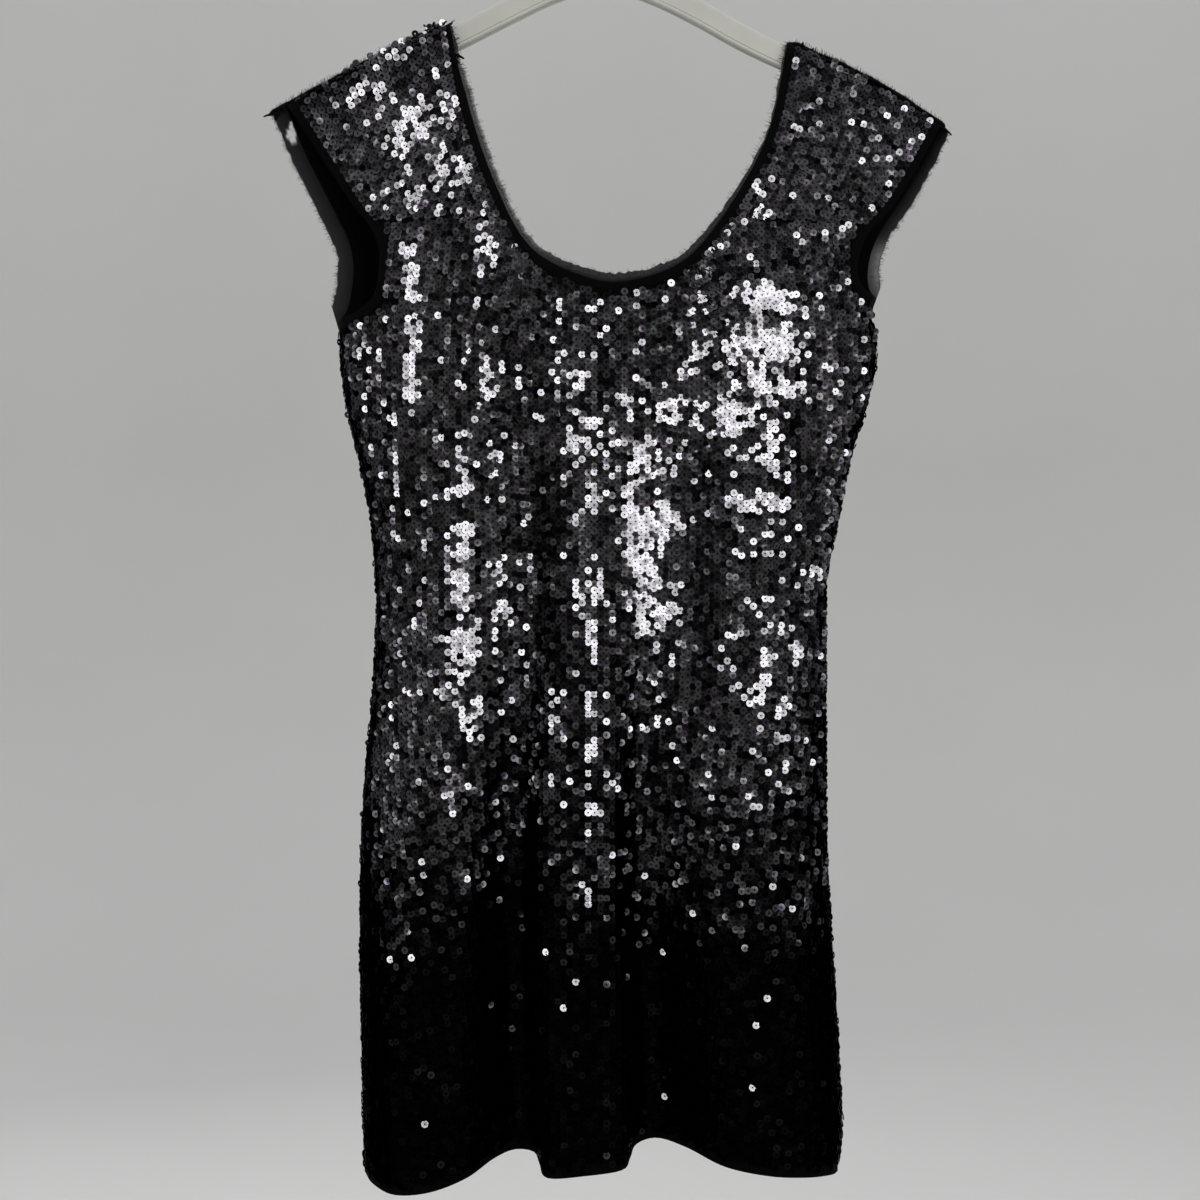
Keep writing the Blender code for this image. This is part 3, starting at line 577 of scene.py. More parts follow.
class Half:
    """One half of the dress, front or back: its body and straps as grids of points, and its edges."""

    def __init__(self, name, grid=CLOTH_GRID, strap_rows=CLOTH_STRAP):
        self.side, neck, arm_left, arm_right, hem, yoke = CUTS[name]
        columns, neck_columns, body_rows, arm_rows = grid
        self.strap_columns, self.body_rows = columns, body_rows
        neck, arm_left, arm_right = through(neck), through(arm_left), through(arm_right)
        left_share, right_share = share_at(arm_left, yoke), share_at(arm_right, yoke)
        neck_left, neck_right = share_at(neck, yoke), 1 - share_at(neck[::-1], yoke)
        left = side_edge(0, arm_left, left_share, body_rows, arm_rows)
        right = side_edge(1, arm_right, right_share, body_rows, arm_rows)
        dip = spaced(neck, np.linspace(neck_left, neck_right, neck_columns + 1))
        left_yoke = np.linspace(left[-1], dip[0], columns + 1)
        right_yoke = np.linspace(dip[-1], right[-1], columns + 1)
        top = np.vstack([left_yoke[:-1], dip, right_yoke[1:]])
        hem = spaced(through(hem), np.linspace(0, 1, len(top)))
        low_rows = np.linspace(0, UNDERARM_ROW, body_rows + 1)
        high_rows = np.linspace(UNDERARM_ROW, 1, arm_rows + 1)[1:]
        bottom = hem[:, [0, 2]] + [0.0, HEM_BAND_HEIGHT]
        flat = patch(bottom, top, left, right, np.concatenate([low_rows, high_rows]))

        wave = read_off(WAVE_CURVE, flat[..., 1])
        out = self.side * stand_off(self.side, flat[..., 0], flat[..., 1])
        depth = (1 - wave) * out + wave * hem[:, 1]
        depth[: body_rows + 1, [0, -1]] = self.side * HALF_SEAM
        self.body = np.stack([flat[..., 0], depth, flat[..., 1]], axis=-1)

        steps = np.array((0.0,) + tuple(strap_rows))
        self.left_strap = self.strap(
            flat[-1, : columns + 1],
            np.linspace(arm_left[0, 0], neck[0, 0], columns + 1),
            spaced(arm_left, left_share * (1 - steps)),
            spaced(neck, neck_left * (1 - steps)),
            steps,
        )
        self.right_strap = self.strap(
            flat[-1, -columns - 1 :],
            np.linspace(neck[-1, 0], arm_right[0, 0], columns + 1),
            spaced(neck, neck_right + (1 - neck_right) * steps),
            spaced(arm_right, right_share * (1 - steps)),
            steps,
        )
        across_dip = self.body[-1, columns : columns + neck_columns + 1]
        self.edges = {
            "arm_left": np.vstack([self.body[body_rows:, 0], self.left_strap[1:, 0]]),
            "arm_right": np.vstack([self.body[body_rows:, -1], self.right_strap[1:, -1]]),
            "neck": np.vstack([self.left_strap[:0:-1, -1], across_dip, self.right_strap[1:, 0]]),
        }

    def strap(self, foot, top_xs, left, right, steps):
        """A strap from the yoke's points up to the shoulder seam."""
        top = np.stack([top_xs, shoulder_height(top_xs)], axis=1)
        left[-1], right[-1] = top[0], top[-1]
        flat = patch(foot, top, left, right, steps)
        depth = stand_off(self.side, flat[..., 0], flat[..., 1])
        depth[-1] = HALF_SEAM
        return np.stack([flat[..., 0], self.side * depth, flat[..., 1]], axis=-1)

    def ways(self, grid):
        """Unit directions out of the cloth at a grid's points."""
        down = np.gradient(grid, axis=0)
        across = np.gradient(grid, axis=1)
        return unit(np.cross(across, down) * -self.side)


class Shell:
    """A mesh under way: its points and its faces."""

    def __init__(self):
        self.points = []
        self.faces = []

    def add(self, points):
        """Adds points and returns their numbers."""
        start = len(self.points)
        self.points.extend(np.asarray(points, float))
        return list(range(start, len(self.points)))

    def join(self, rows, closed=False):
        """Quads between each row of point numbers and the next."""
        for low, high in zip(rows[:-1], rows[1:]):
            count = len(low)
            for i in range(count if closed else count - 1):
                j = (i + 1) % count
                self.faces.append((low[i], low[j], high[j], high[i]))


def walled(points, faces, side, wall, flat_along_y, flat_along_z=()):
    """A sheet as a closed wall: its outer face, the same points moved in, and a rim."""
    points = np.array(points)
    corners = points[np.array(faces)]
    areas = np.cross(corners[:, 2] - corners[:, 0], corners[:, 3] - corners[:, 1])
    normals = np.zeros_like(points)
    for corner in range(4):
        np.add.at(normals, np.array(faces)[:, corner], areas)
    if normals[:, 1].sum() * side < 0:
        normals = -normals
        faces = [face[::-1] for face in faces]
    normals[list(flat_along_y), 1] = 0.0
    normals[list(flat_along_z), 2] = 0.0
    inner = points - unit(normals) * wall
    count = len(points)
    made = list(faces) + [tuple(k + count for k in face[::-1]) for face in faces]
    sides = {edge for f in faces for edge in zip(f, f[1:] + f[:1])}
    for start, end in sides:
        if (end, start) not in sides:
            made.append((end, start, start + count, end + count))
    return np.vstack([points, inner]), made


def linked(name, data):
    """A new object, in the scene."""
    made = bpy.data.objects.new(name, data)
    bpy.context.scene.collection.objects.link(made)
    return made


def seated(name, mesh):
    """A mesh as a piece of the dress, at the origin, riding on the body."""
    made = linked(name, mesh)
    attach(made, BODY)
    return made


def smooth_mesh(name, points, faces, maker):
    """A smooth mesh from points in millimetres, in its material."""
    mesh = bpy.data.meshes.new(name)
    mesh.from_pydata((np.asarray(points) * MM).tolist(), [], faces)
    mesh.materials.append(material(maker))
    mesh.shade_smooth()
    return mesh


def mark(mesh, name, values):
    """Stores a number or a direction for each point of a mesh, which its material or node tree reads."""
    values = np.asarray(values, np.float32)
    kind, key = ("FLOAT", "value") if values.ndim == 1 else ("FLOAT_VECTOR", "vector")
    held = mesh.attributes.new(name, kind, "POINT")
    held.data.foreach_set(key, values.ravel())


# ---------------------------------------------------------------- nodes


def fill(tree, node, inputs):
    """Gives a node's inputs their values, or links them where the value is another node's output."""
    for name, value in inputs.items():
        if isinstance(value, bpy.types.NodeSocket):
            tree.links.new(value, node.inputs[name])
        else:
            node.inputs[name].default_value = value


def add_node(tree, kind, inputs=None, output=None, **settings):
    """Adds a node with its settings and inputs. Returns it, or the output that is asked for."""
    made = tree.nodes.new(kind)
    for name, value in settings.items():
        setattr(made, name, value)
    fill(tree, made, inputs or {})
    return made if output is None else made.outputs[output]


def maths(tree, operation, *values, **settings):
    """A sum of one to three numbers."""
    inputs = dict(enumerate(values))
    return add_node(tree, "ShaderNodeMath", inputs, "Value", operation=operation, **settings)


def scaled(tree, vector, share):
    """A vector or a colour times a number."""
    return add_node(tree, "ShaderNodeVectorMath", {0: vector, "Scale": share}, "Vector", operation="SCALE")


def vector_of(tree, **parts):
    """A vector from its X, Y and Z."""
    return add_node(tree, "ShaderNodeCombineXYZ", parts, "Vector")


def held_number(tree, name):
    """In a material: the number that each point of the piece holds under a name."""
    return add_node(tree, "ShaderNodeAttribute", output="Fac", attribute_name=name)


def held_value(tree, name, kind="FLOAT"):
    """In geometry nodes: what each point holds under a name."""
    return add_node(tree, "GeometryNodeInputNamedAttribute", {"Name": name}, "Attribute", data_type=kind)


def ranged(tree, value, low, high, first=0.0, last=1.0):
    """A number between first and last, stretched to lie between low and high."""
    given = {"Value": value, "From Min": first, "From Max": last, "To Min": low, "To Max": high}
    return add_node(tree, "ShaderNodeMapRange", given, "Result")


def grain(tree, millimetres, detail=2.0):
    """Noise with a grain of so many millimetres."""
    place = add_node(tree, "ShaderNodeTexCoord", output="Object")
    given = {"Vector": place, "Scale": 1.0 / (millimetres * MM), "Detail": detail}
    return add_node(tree, "ShaderNodeTexNoise", given, "Fac")


def ribs_of(tree, place, scale, distortion):
    """Ribs of knitted loops, a little uneven."""
    given = {"Vector": place, "Scale": scale, "Distortion": distortion, "Detail": 1.0}
    return add_node(tree, "ShaderNodeTexWave", given, "Fac")


def raised(tree, height, strength, distance):
    """Shading as if the surface rose by a distance in metres where the height is 1."""
    given = {"Height": height, "Strength": strength, "Distance": distance}
    return add_node(tree, "ShaderNodeBump", given, "Normal")


def paint(code):
    """A linear colour from a hex code as seen on screen."""
    parts = [int(code[k : k + 2], 16) / 255 for k in (1, 3, 5)]
    linear = [c / 12.92 if c <= 0.04045 else ((c + 0.055) / 1.055) ** 2.4 for c in parts]
    return (*linear, 1.0)


def blend_of(tree, share, *stops):
    """A colour ramp over a share from 0 to 1: position, hex colour."""
    ramp = add_node(tree, "ShaderNodeValToRGB", {"Fac": share})
    marks = ramp.color_ramp.elements
    while len(marks) < len(stops):
        marks.new(0.5)
    for element, (place, code) in zip(marks, stops):
        element.position = place
        element.color = paint(code)
    return ramp.outputs["Color"]


# ---------------------------------------------------------------- materials: what each shader is given


def pet_sequin_film(tree):
    """PET film, metallised black and punched into rings. The vacuum coat is mirror-smooth but thin, so
    what it gives back is dark, with a breath of violet; handling leaves faint scuffs that spread it. Its
    colour carries painted light too: painted shade fades it to black down the skirt and in dark streaks,
    painted highlight brightens flashing and glimmering sequins, and painted shade darkens it round the
    hole under a painted bright rim."""
    light = held_number(tree, "film_light")
    neutral = blend_of(tree, light, (0.0, "#030304"), (0.5, "#403f41"), (1.0, "#676669"))
    violet = blend_of(tree, light, (0.0, "#040305"), (0.5, "#443e47"), (1.0, "#68646b"))
    tints = {"Factor": held_number(tree, "film_tint"), "A": neutral, "B": violet}
    colour = add_node(tree, "ShaderNodeMix", tints, "Result", data_type="RGBA")
    # Painted shade towards the hole under a painted bright rim: the film darkens round the hole, less on
    # bright sequins, and is 1.15 times as bright at its outer edge.
    painted_hole_shade = ranged(tree, light, 0.45, 0.85, 0.55, 0.8)
    return {
        "Base Color": scaled(tree, colour, ranged(tree, held_number(tree, "rim"), painted_hole_shade, 1.15)),
        "Roughness": ranged(tree, grain(tree, 1.4, 3.0), 0.16, 0.27),
        "Metallic": 1.0,
        "Specular Tint": paint("#6e6e74"),
    }


def knit_jersey(tree):
    """Polyester jersey, knitted fine and dyed black: its ribs of loops soak up the light."""
    place = add_node(tree, "ShaderNodeTexCoord", output="Object")
    return {
        "Base Color": blend_of(tree, grain(tree, 0.8, 3.0), (0.3, "#030304"), (0.7, "#09090a")),
        "Normal": raised(tree, ribs_of(tree, place, 320.0, 1.5), 0.5, 0.0003),
        "Roughness": 0.92,
        "Specular IOR Level": 0.03,
    }


def jersey_binding(tree):
    """A strip of the same jersey, folded over the edge and sewn: rounder, a little rubbed on its fold."""
    place = add_node(tree, "ShaderNodeUVMap", output="UV")
    return {
        "Base Color": blend_of(tree, grain(tree, 1.2, 3.0), (0.3, "#030304"), (0.75, "#0a0a0b")),
        "Normal": raised(tree, ribs_of(tree, place, 0.45, 0.8), 0.6, 0.0004),
        "Roughness": 0.9,
        "Specular IOR Level": 0.05,
    }


def sheer_gauze(tree):
    """Sheer polyester gauze left raw: a loose weave that lets the wall through, thinner where it frays.
    Where it lies doubled under the binding it is as dark as the binding."""
    worn = maths(tree, "MULTIPLY_ADD", grain(tree, 2.2), 0.5, 0.75)
    thin = maths(tree, "MULTIPLY", held_number(tree, "sheer"), worn)
    return {
        "Base Color": blend_of(tree, thin, (0.02, "#08080a"), (0.1, "#2c2c2e"), (0.6, "#444445")),
        "Alpha": maths(tree, "SUBTRACT", 1.0, thin, use_clamp=True),
        "Roughness": 0.95,
        "Specular IOR Level": 0.06,
    }


def overlock_thread(tree):
    """Spun black polyester thread, looped by the overlocker: soft fuzz, no shine of its own."""
    return {
        "Base Color": blend_of(tree, grain(tree, 0.9, 3.0), (0.3, "#050505"), (0.8, "#121213")),
        "Normal": raised(tree, grain(tree, 0.5), 0.5, 0.0003),
        "Roughness": 0.9,
        "Specular IOR Level": 0.05,
    }


def frayed_gauze_yarn(tree):
    """Single yarns worked loose from the gauze: a painted grey sheen stands for where the light catches
    them.
    """
    return {
        "Base Color": blend_of(tree, grain(tree, 1.0), (0.3, "#232324"), (0.75, "#464647")),
        "Roughness": 0.9,
    }


def moulded_polypropylene(tree):
    """Moulded polypropylene, warm white: a soft shine with the flow of the mould and fine rail scratches."""
    return {
        "Base Color": blend_of(tree, grain(tree, 38.0, 3.0), (0.25, "#bfbeb6"), (0.75, "#cbcac2")),
        "Roughness": ranged(tree, grain(tree, 6.0, 4.0), 0.3, 0.46),
        "Normal": raised(tree, grain(tree, 1.1, 3.0), 0.12, 0.0002),
    }


def seamless_paper(tree):
    """A sweep of seamless paper, pale grey and matt, so that only the dress has any shine."""
    return {
        "Base Color": blend_of(tree, grain(tree, 900.0), (0.2, "#d2d2d0"), (0.8, "#d8d8d6")),
        "Roughness": 0.95,
        "Specular IOR Level": 0.0,
    }


made_materials = {}


def material(maker):
    """The material that a maker above describes, under the maker's name, made once."""
    name = maker.__name__
    if name not in made_materials:
        made = bpy.data.materials.new(name)
        made.use_nodes = True
        tree = made.node_tree
        fill(tree, tree.nodes["Principled BSDF"], maker(tree))
        made_materials[name] = made
    return made_materials[name]


# ---------------------------------------------------------------- what the node trees share


def start_tree(name, sizes):
    """A new tree of geometry nodes with named inputs, and what its inputs give."""
    tree = bpy.data.node_groups.new(name, "GeometryNodeTree")
    tree.interface.new_socket("Geometry", in_out="INPUT", socket_type="NodeSocketGeometry")
    for label, value in sizes.items():
        kind = "NodeSocketInt" if isinstance(value, int) else "NodeSocketFloat"
        socket = tree.interface.new_socket(label, in_out="INPUT", socket_type=kind)
        socket.default_value = value
    tree.interface.new_socket("Geometry", in_out="OUTPUT", socket_type="NodeSocketGeometry")
    return tree, add_node(tree, "NodeGroupInput").outputs


def facing_turn(tree):
    """The turn that stands a shape up along the way that its point faces."""
    facing = held_value(tree, "facing", "FLOAT_VECTOR")
    return add_node(tree, "FunctionNodeAlignRotationToVector", {"Vector": facing}, "Rotation", axis="Z")


def stood(tree, given, shape, turn, **scale):
    """A shape on each of the tree's points, made real."""
    spots = {"Points": given["Geometry"], "Instance": shape, "Rotation": turn, **scale}
    copies = add_node(tree, "GeometryNodeInstanceOnPoints", spots, "Instances")
    return add_node(tree, "GeometryNodeRealizeInstances", {"Geometry": copies}, "Geometry")


def finish_tree(tree, shape, maker):
    """Puts the material on what a tree has made, and gives it out."""
    coat = {"Geometry": shape, "Material": material(maker)}
    coated = add_node(tree, "GeometryNodeSetMaterial", coat, "Geometry")
    add_node(tree, "NodeGroupOutput", {"Geometry": coated})
    return tree


def seed_points(name, places, **marks):
    """Loose points in millimetres, with the numbers and directions that a tree reads from them."""
    mesh = bpy.data.meshes.new(f"{name}_points")
    mesh.from_pydata((places * MM).tolist(), [], [])
    for label, values in marks.items():
        mark(mesh, label, values)
    return mesh


def set_inputs(modifier, values):
    """Sets a node tree's inputs by the identifiers of their sockets."""
    for socket in modifier.node_group.interface.items_tree:
        if socket.in_out == "INPUT" and socket.name in values:
            modifier[socket.identifier] = values[socket.name]


def grown(name, seeds, tree, inputs=None):
    """A piece that a node tree grows on seed points, kept as a plain mesh."""
    holder = linked(f"{name}_seeds", seeds)
    modifier = holder.modifiers.new("grow", "NODES")
    modifier.node_group = tree
    set_inputs(modifier, inputs or {})
    seen = holder.evaluated_get(bpy.context.evaluated_depsgraph_get())
    mesh = bpy.data.meshes.new_from_object(seen)
    bpy.data.objects.remove(holder)
    bpy.data.meshes.remove(seeds)
    if not mesh.polygons:
        raise RuntimeError(f"{name}: nothing grew")
    mesh.name = name
    return seated(name, mesh)


# ---------------------------------------------------------------- knit, bindings and gauze


def add_panel(name, half):
    """The knit under the sequins, front or back, as one thin closed shell."""
    shell = Shell()
    rows = [shell.add(row) for row in half.body]
    shell.join(rows)
    seams = {ids[k] for ids in rows[: half.body_rows + 1] for k in (0, -1)}
    count = half.strap_columns + 1
    for grid, foot in ((half.left_strap, rows[-1][:count]), (half.right_strap, rows[-1][-count:])):
        strap_rows = [foot] + [shell.add(row) for row in grid[1:]]
        shell.join(strap_rows)
        seams.update(strap_rows[-1])
    points, faces = walled(shell.points, shell.faces, half.side, CLOTH_WALL, seams, rows[0])
    title = f"{name}_knit"
    piece = seated(title, smooth_mesh(title, points, faces, knit_jersey))
    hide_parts(f"{name}_panel")
    return piece


def strip(name, half, rows, wall, maker, replaced, sheer=None):
    """A strip of cloth from rows of points, with UVs in millimetres along it and a share across it."""
    shell = Shell()
    ids = [shell.add(row) for row in rows]
    shell.join(ids)
    ends = [row[k] for row in ids for k in (0, -1)]
    points, faces = walled(shell.points, shell.faces, half.side, wall, ends)
    mesh = smooth_mesh(name, points, faces, maker)
    piece = seated(name, mesh)
    along = lengths(rows[0])
    across = np.linspace(0, 1, len(rows))
    places = np.array([(a, b) for b in across for a in along] * 2)
    corner_points = np.empty(len(mesh.loops), int)
    mesh.loops.foreach_get("vertex_index", corner_points)
    layer = mesh.uv_layers.new(name="UVMap")
    layer.data.foreach_set("uv", places[corner_points].ravel())
    if sheer is not None:
        mark(mesh, "sheer", np.tile(np.ravel(sheer), 2))
    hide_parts(replaced)
    return piece


def edge_ways(half, edge, first, last, turn):
    """An edge of the cloth and the directions away from it, seen from the front, three points for one."""
    line = half.edges[edge][:, [0, 2]]
    tangents = np.gradient(line, axis=0)
    ways = turn * np.stack([-tangents[:, 1], tangents[:, 0]], axis=1)
    ways[0], ways[-1] = first, last
    ways = unit(ways)
    for _ in range(3):
        ways[1:-1] += (ways[:-2] + ways[2:]) / 2
        ways = unit(ways)
    return through(line, 3), unit(through(ways, 3))


def strip_rows(half, line, ways, near, widths, steps, swell):
    """Rows of points from a distance outside an edge, swelling off the cloth's own form."""
    rows = []
    for share in np.linspace(0, 1, steps + 1):
        flat = line + ways * (near + share * widths)[:, None]
        depth = stand_off(half.side, flat[:, 0], flat[:, 1])
        depth[[0, -1]] = HALF_SEAM
        depth = depth + swell * math.sin(math.pi * share)
        rows.append(np.stack([flat[:, 0], half.side * depth, flat[:, 1]], axis=1))
    return rows


def shoulder_way(x, towards):
    """The shoulder line's direction at a point, to the left or to the right."""
    return np.array([1.0, shoulder_slope(x, 3)]) * towards


def sheerness(label, rows):
    """How see-through a raw edge is at each of its points."""
    along = shares_along(rows[0])
    across = np.linspace(0, 1, len(rows))[:, None] ** GAUZE_FADE
    table = GAUZE_SHEER[label]
    sheer = read_off(table, along, 1) * (1 - across) + read_off(table, along, 2) * across
    x, z, half_width, half_height = TORN_GAP
    places = np.array(rows)
    down = (z + half_height - places[..., 2]) / (2 * half_height)
    reach = half_width * np.clip(TORN_TOP + TORN_FLARE * down, 0.05, None)
    off = np.abs(places[..., 0] - x) / reach
    torn = (down > 0) & (down < 1) & (off < 1)
    return np.where(torn, 1.0, sheer)


def edge_jobs(coarse):
    """What is sewn to each edge: its label, the edge, the turn that leads off the cloth, the ways at its
    two ends, the widths of the gauze that shows, and the half that the gauze belongs to."""
    neck = coarse.edges["neck"]
    ends = shoulder_way(neck[0, 0], 1), shoulder_way(neck[-1, 0], -1)
    jobs = [("neck", "neck", 1, *ends, NECK_GAUZE_WIDTHS, "front")]
    for column, (hand, turn) in enumerate((("left", 1), ("right", -1))):
        line = coarse.edges[f"arm_{hand}"][:, [0, 2]]
        above = line[0, 1] + 10
        up_side = np.array([outline_at(above)[column], above]) - line[0]
        down_shoulder = shoulder_way(line[-1, 0], -turn)
        widths = [(0, ARMHOLE_GAUZE_WIDTHS[hand]), (1, ARMHOLE_GAUZE_WIDTHS[hand])]
        jobs.append((f"armhole_{hand}", f"arm_{hand}", turn, up_side, down_shoulder, widths, "back"))
    return jobs


def add_edges(name, half, coarse):
    """The bindings along one half's neck and armholes, and the gauze that shows past them."""
    made = []
    frays = []
    for label, edge, turn, first, last, widths, gauze_half in edge_jobs(coarse):
        line, ways = edge_ways(coarse, edge, first, last, turn)
        along = shares_along(line)
        even = np.full(len(line), BINDING_WIDTH)
        if label == "neck":
            even = read_off(NECK_BINDING_WIDTHS, along)
        rows = strip_rows(half, line, ways, -BINDING_LAP, even + BINDING_FOLD, BINDING_STEPS, BINDING_SWELL)
        title = f"{label}_binding_{name}"
        tape = strip(f"{title}_tape", half, rows, BINDING_WALL, jersey_binding, title)
        made.append(tape)
        if name == gauze_half:
            ragged = np.random.default_rng(len(label)).normal(0, GAUZE_RAGGEDNESS, len(along))
            shown = read_off(widths, along) + ragged
            near = line + ways * (even - GAUZE_LAP)[:, None]
            rows = strip_rows(half, near, ways, 0.0, shown + GAUZE_HIDDEN, GAUZE_STEPS, GAUZE_SINK)
            title = f"{label}_raw_edge"
            sheer = sheerness(label, rows)
            gauze = strip(f"{title}_gauze", half, rows, GAUZE_WALL, sheer_gauze, title, sheer)
            made.append(gauze)
            outer = -4 if label == "neck" else -1
            frays.append((label, rows[outer - 1], rows[outer]))
    return made, frays


def add_hem(name, half):
    """The plain edge under the last sequins, on the hem's own wave."""
    rows = [half.body[0] - [0.0, 0.0, drop] for drop in HEM_BAND_DROPS]
    title = f"hem_band_{name}"
    return strip(f"{title}_edge", half, rows, HEM_BAND_WALL, knit_jersey, title)


# ---------------------------------------------------------------- where the sequins are sewn


def thread_columns(half, pitch):
    """For each row of the body's grid, the column at which each upright thread of sequins crosses it."""
    steps = np.linalg.norm(np.diff(half.body, axis=1), axis=2)
    along = np.concatenate([np.zeros((len(steps), 1)), np.cumsum(steps, axis=1)], axis=1)
    columns = np.arange(half.body.shape[1])
    reach = int(along.max() / pitch / 2) + 2
    threads = (np.arange(-reach, reach) + 0.5) * pitch
    crossings = []
    for row, length in zip(half.body, along):
        wanted = threads + np.interp(MIDDLE_X, row[:, 0], length)
        at = np.interp(wanted, length, columns)
        at[(wanted < SEAM_MARGIN) | (wanted > length[-1] - SEAM_MARGIN)] = np.nan
        crossings.append(at)
    return np.array(crossings)


def strap_threads(grid, pitch):
    """Threads that fan out along a strap, parallel to its edges."""
    width = lengths(grid[0])[-1] * 0.5 + lengths(grid[len(grid) // 2])[-1] * 0.5
    count = int(round((width - STRAP_MARGIN) / pitch))
    shares = (np.arange(count) + 0.5) / count
    return np.tile(shares * (grid.shape[1] - 1), (len(grid), 1))


def sampled(grid, rows, columns):
    """A grid's points at whole rows and part columns."""
    low = np.clip(np.floor(columns).astype(int), 0, grid.shape[1] - 2)
    part = (columns - low)[:, None]
    return grid[rows, low] * (1 - part) + grid[rows, low + 1] * part


def strung(grid, ways, crossings, pitch, start, end, dice):
    """Sequins strung along threads: their places, and the cloth's direction at each."""
    places, faces = [], []
    for columns in crossings.T:
        held = np.nonzero(~np.isnan(columns))[0]
        for rows in np.split(held, np.nonzero(np.diff(held) > 1)[0] + 1):
            if len(rows) < 2:
                continue
            line = sampled(grid, rows, columns[rows])
            way = sampled(ways, rows, columns[rows])
            at = lengths(line)
            stops = np.arange(start + dice.random() * pitch, at[-1] - end, pitch)
            stops = stops + dice.normal(0, STITCH_SLIP, len(stops))
            places.append(between(line, at, stops))
            faces.append(between(way, at, stops))
    return np.vstack(places), unit(np.vstack(faces))


def rolled_over(dice):
    """Sequins on the seam allowance that rolls up over the left shoulder seam: places and directions."""
    xs = np.repeat(np.arange(*ROLLED_SEAM, ROLLED_STEP), 2)
    xs = xs + dice.normal(0, ROLLED_SLIP, len(xs))
    rise = dice.uniform(*ROLLED_RISE, len(xs))
    places = np.stack([xs, ROLLED_DEPTH - ROLLED_SLANT * rise, shoulder_height(xs) + rise], axis=1)
    ways = unit(np.array(ROLLED_WAY) + dice.normal(0, ROLLED_SCATTER, places.shape))
    return places, ways


# ---------------------------------------------------------------- what each sequin shows


def turned(ways, lean, dice):
    """Directions each leant by about so many radians, towards random sides."""
    angles = np.abs(dice.normal(0, lean, len(ways)))[:, None]
    aside = unit(np.cross(ways, dice.normal(size=ways.shape)))
    return unit(ways * np.cos(angles) + aside * np.sin(angles))


def as_seen(places, side):
    """Where places show to whoever looks straight on, measured on the plane of the hook."""
    eye = np.array(EYE_FRONT if side < 0 else EYE_BACK)
    nearer = abs(eye[1]) / (abs(eye[1]) - side * places[:, 1])
    return eye + (places - eye) * nearer[:, None]


def share_in(places, patches, alone):
    """A share at each place: that of the strongest patch there, and at least what the heights' table says.
    A patch's lean is 0 where its row doesn't end in one."""
    total = read_off(alone, places[:, 2])
    for x, z, half_width, half_height, share, *lean in patches:
        high = places[:, 2] - z
        across = (places[:, 0] - x - sum(lean) * high) / half_width
        along = high / half_height
        total = np.maximum(total, share * np.exp(-((across**2 + along**2) ** PATCH_EDGE)))
    return total


def in_cells(values, places, wide, high):
    """A table of values laid over the dress in cells so many millimetres wide and high, at each place."""
    columns = ((places[:, 0] - CELLS_LEFT) / wide).astype(int)
    rows = (-places[:, 2] / high).astype(int)
    return values[np.clip(columns, 0, len(values) - 1), np.clip(rows, 0, values.shape[1] - 1)]


def clumped(places, dice):
    """A random rank for each sequin, from 0 to 1, that its neighbours partly share."""
    cells = dice.random(CLUMPS)
    own = dice.random(len(places))
    blend = (1 - CLUMPING) * own + CLUMPING * in_cells(cells, places, *CLUMP)
    rank = np.empty(len(places))
    rank[np.argsort(blend)] = np.linspace(0, 1, len(places))
    return rank


def in_patches(places, size, dice):
    """A chance number for each sequin that those within so many millimetres share."""
    values = dice.normal(size=UNEVEN_PATCHES)
    nudged = places + dice.normal(0, size / 4, places.shape)
    return in_cells(values, nudged, size, size)


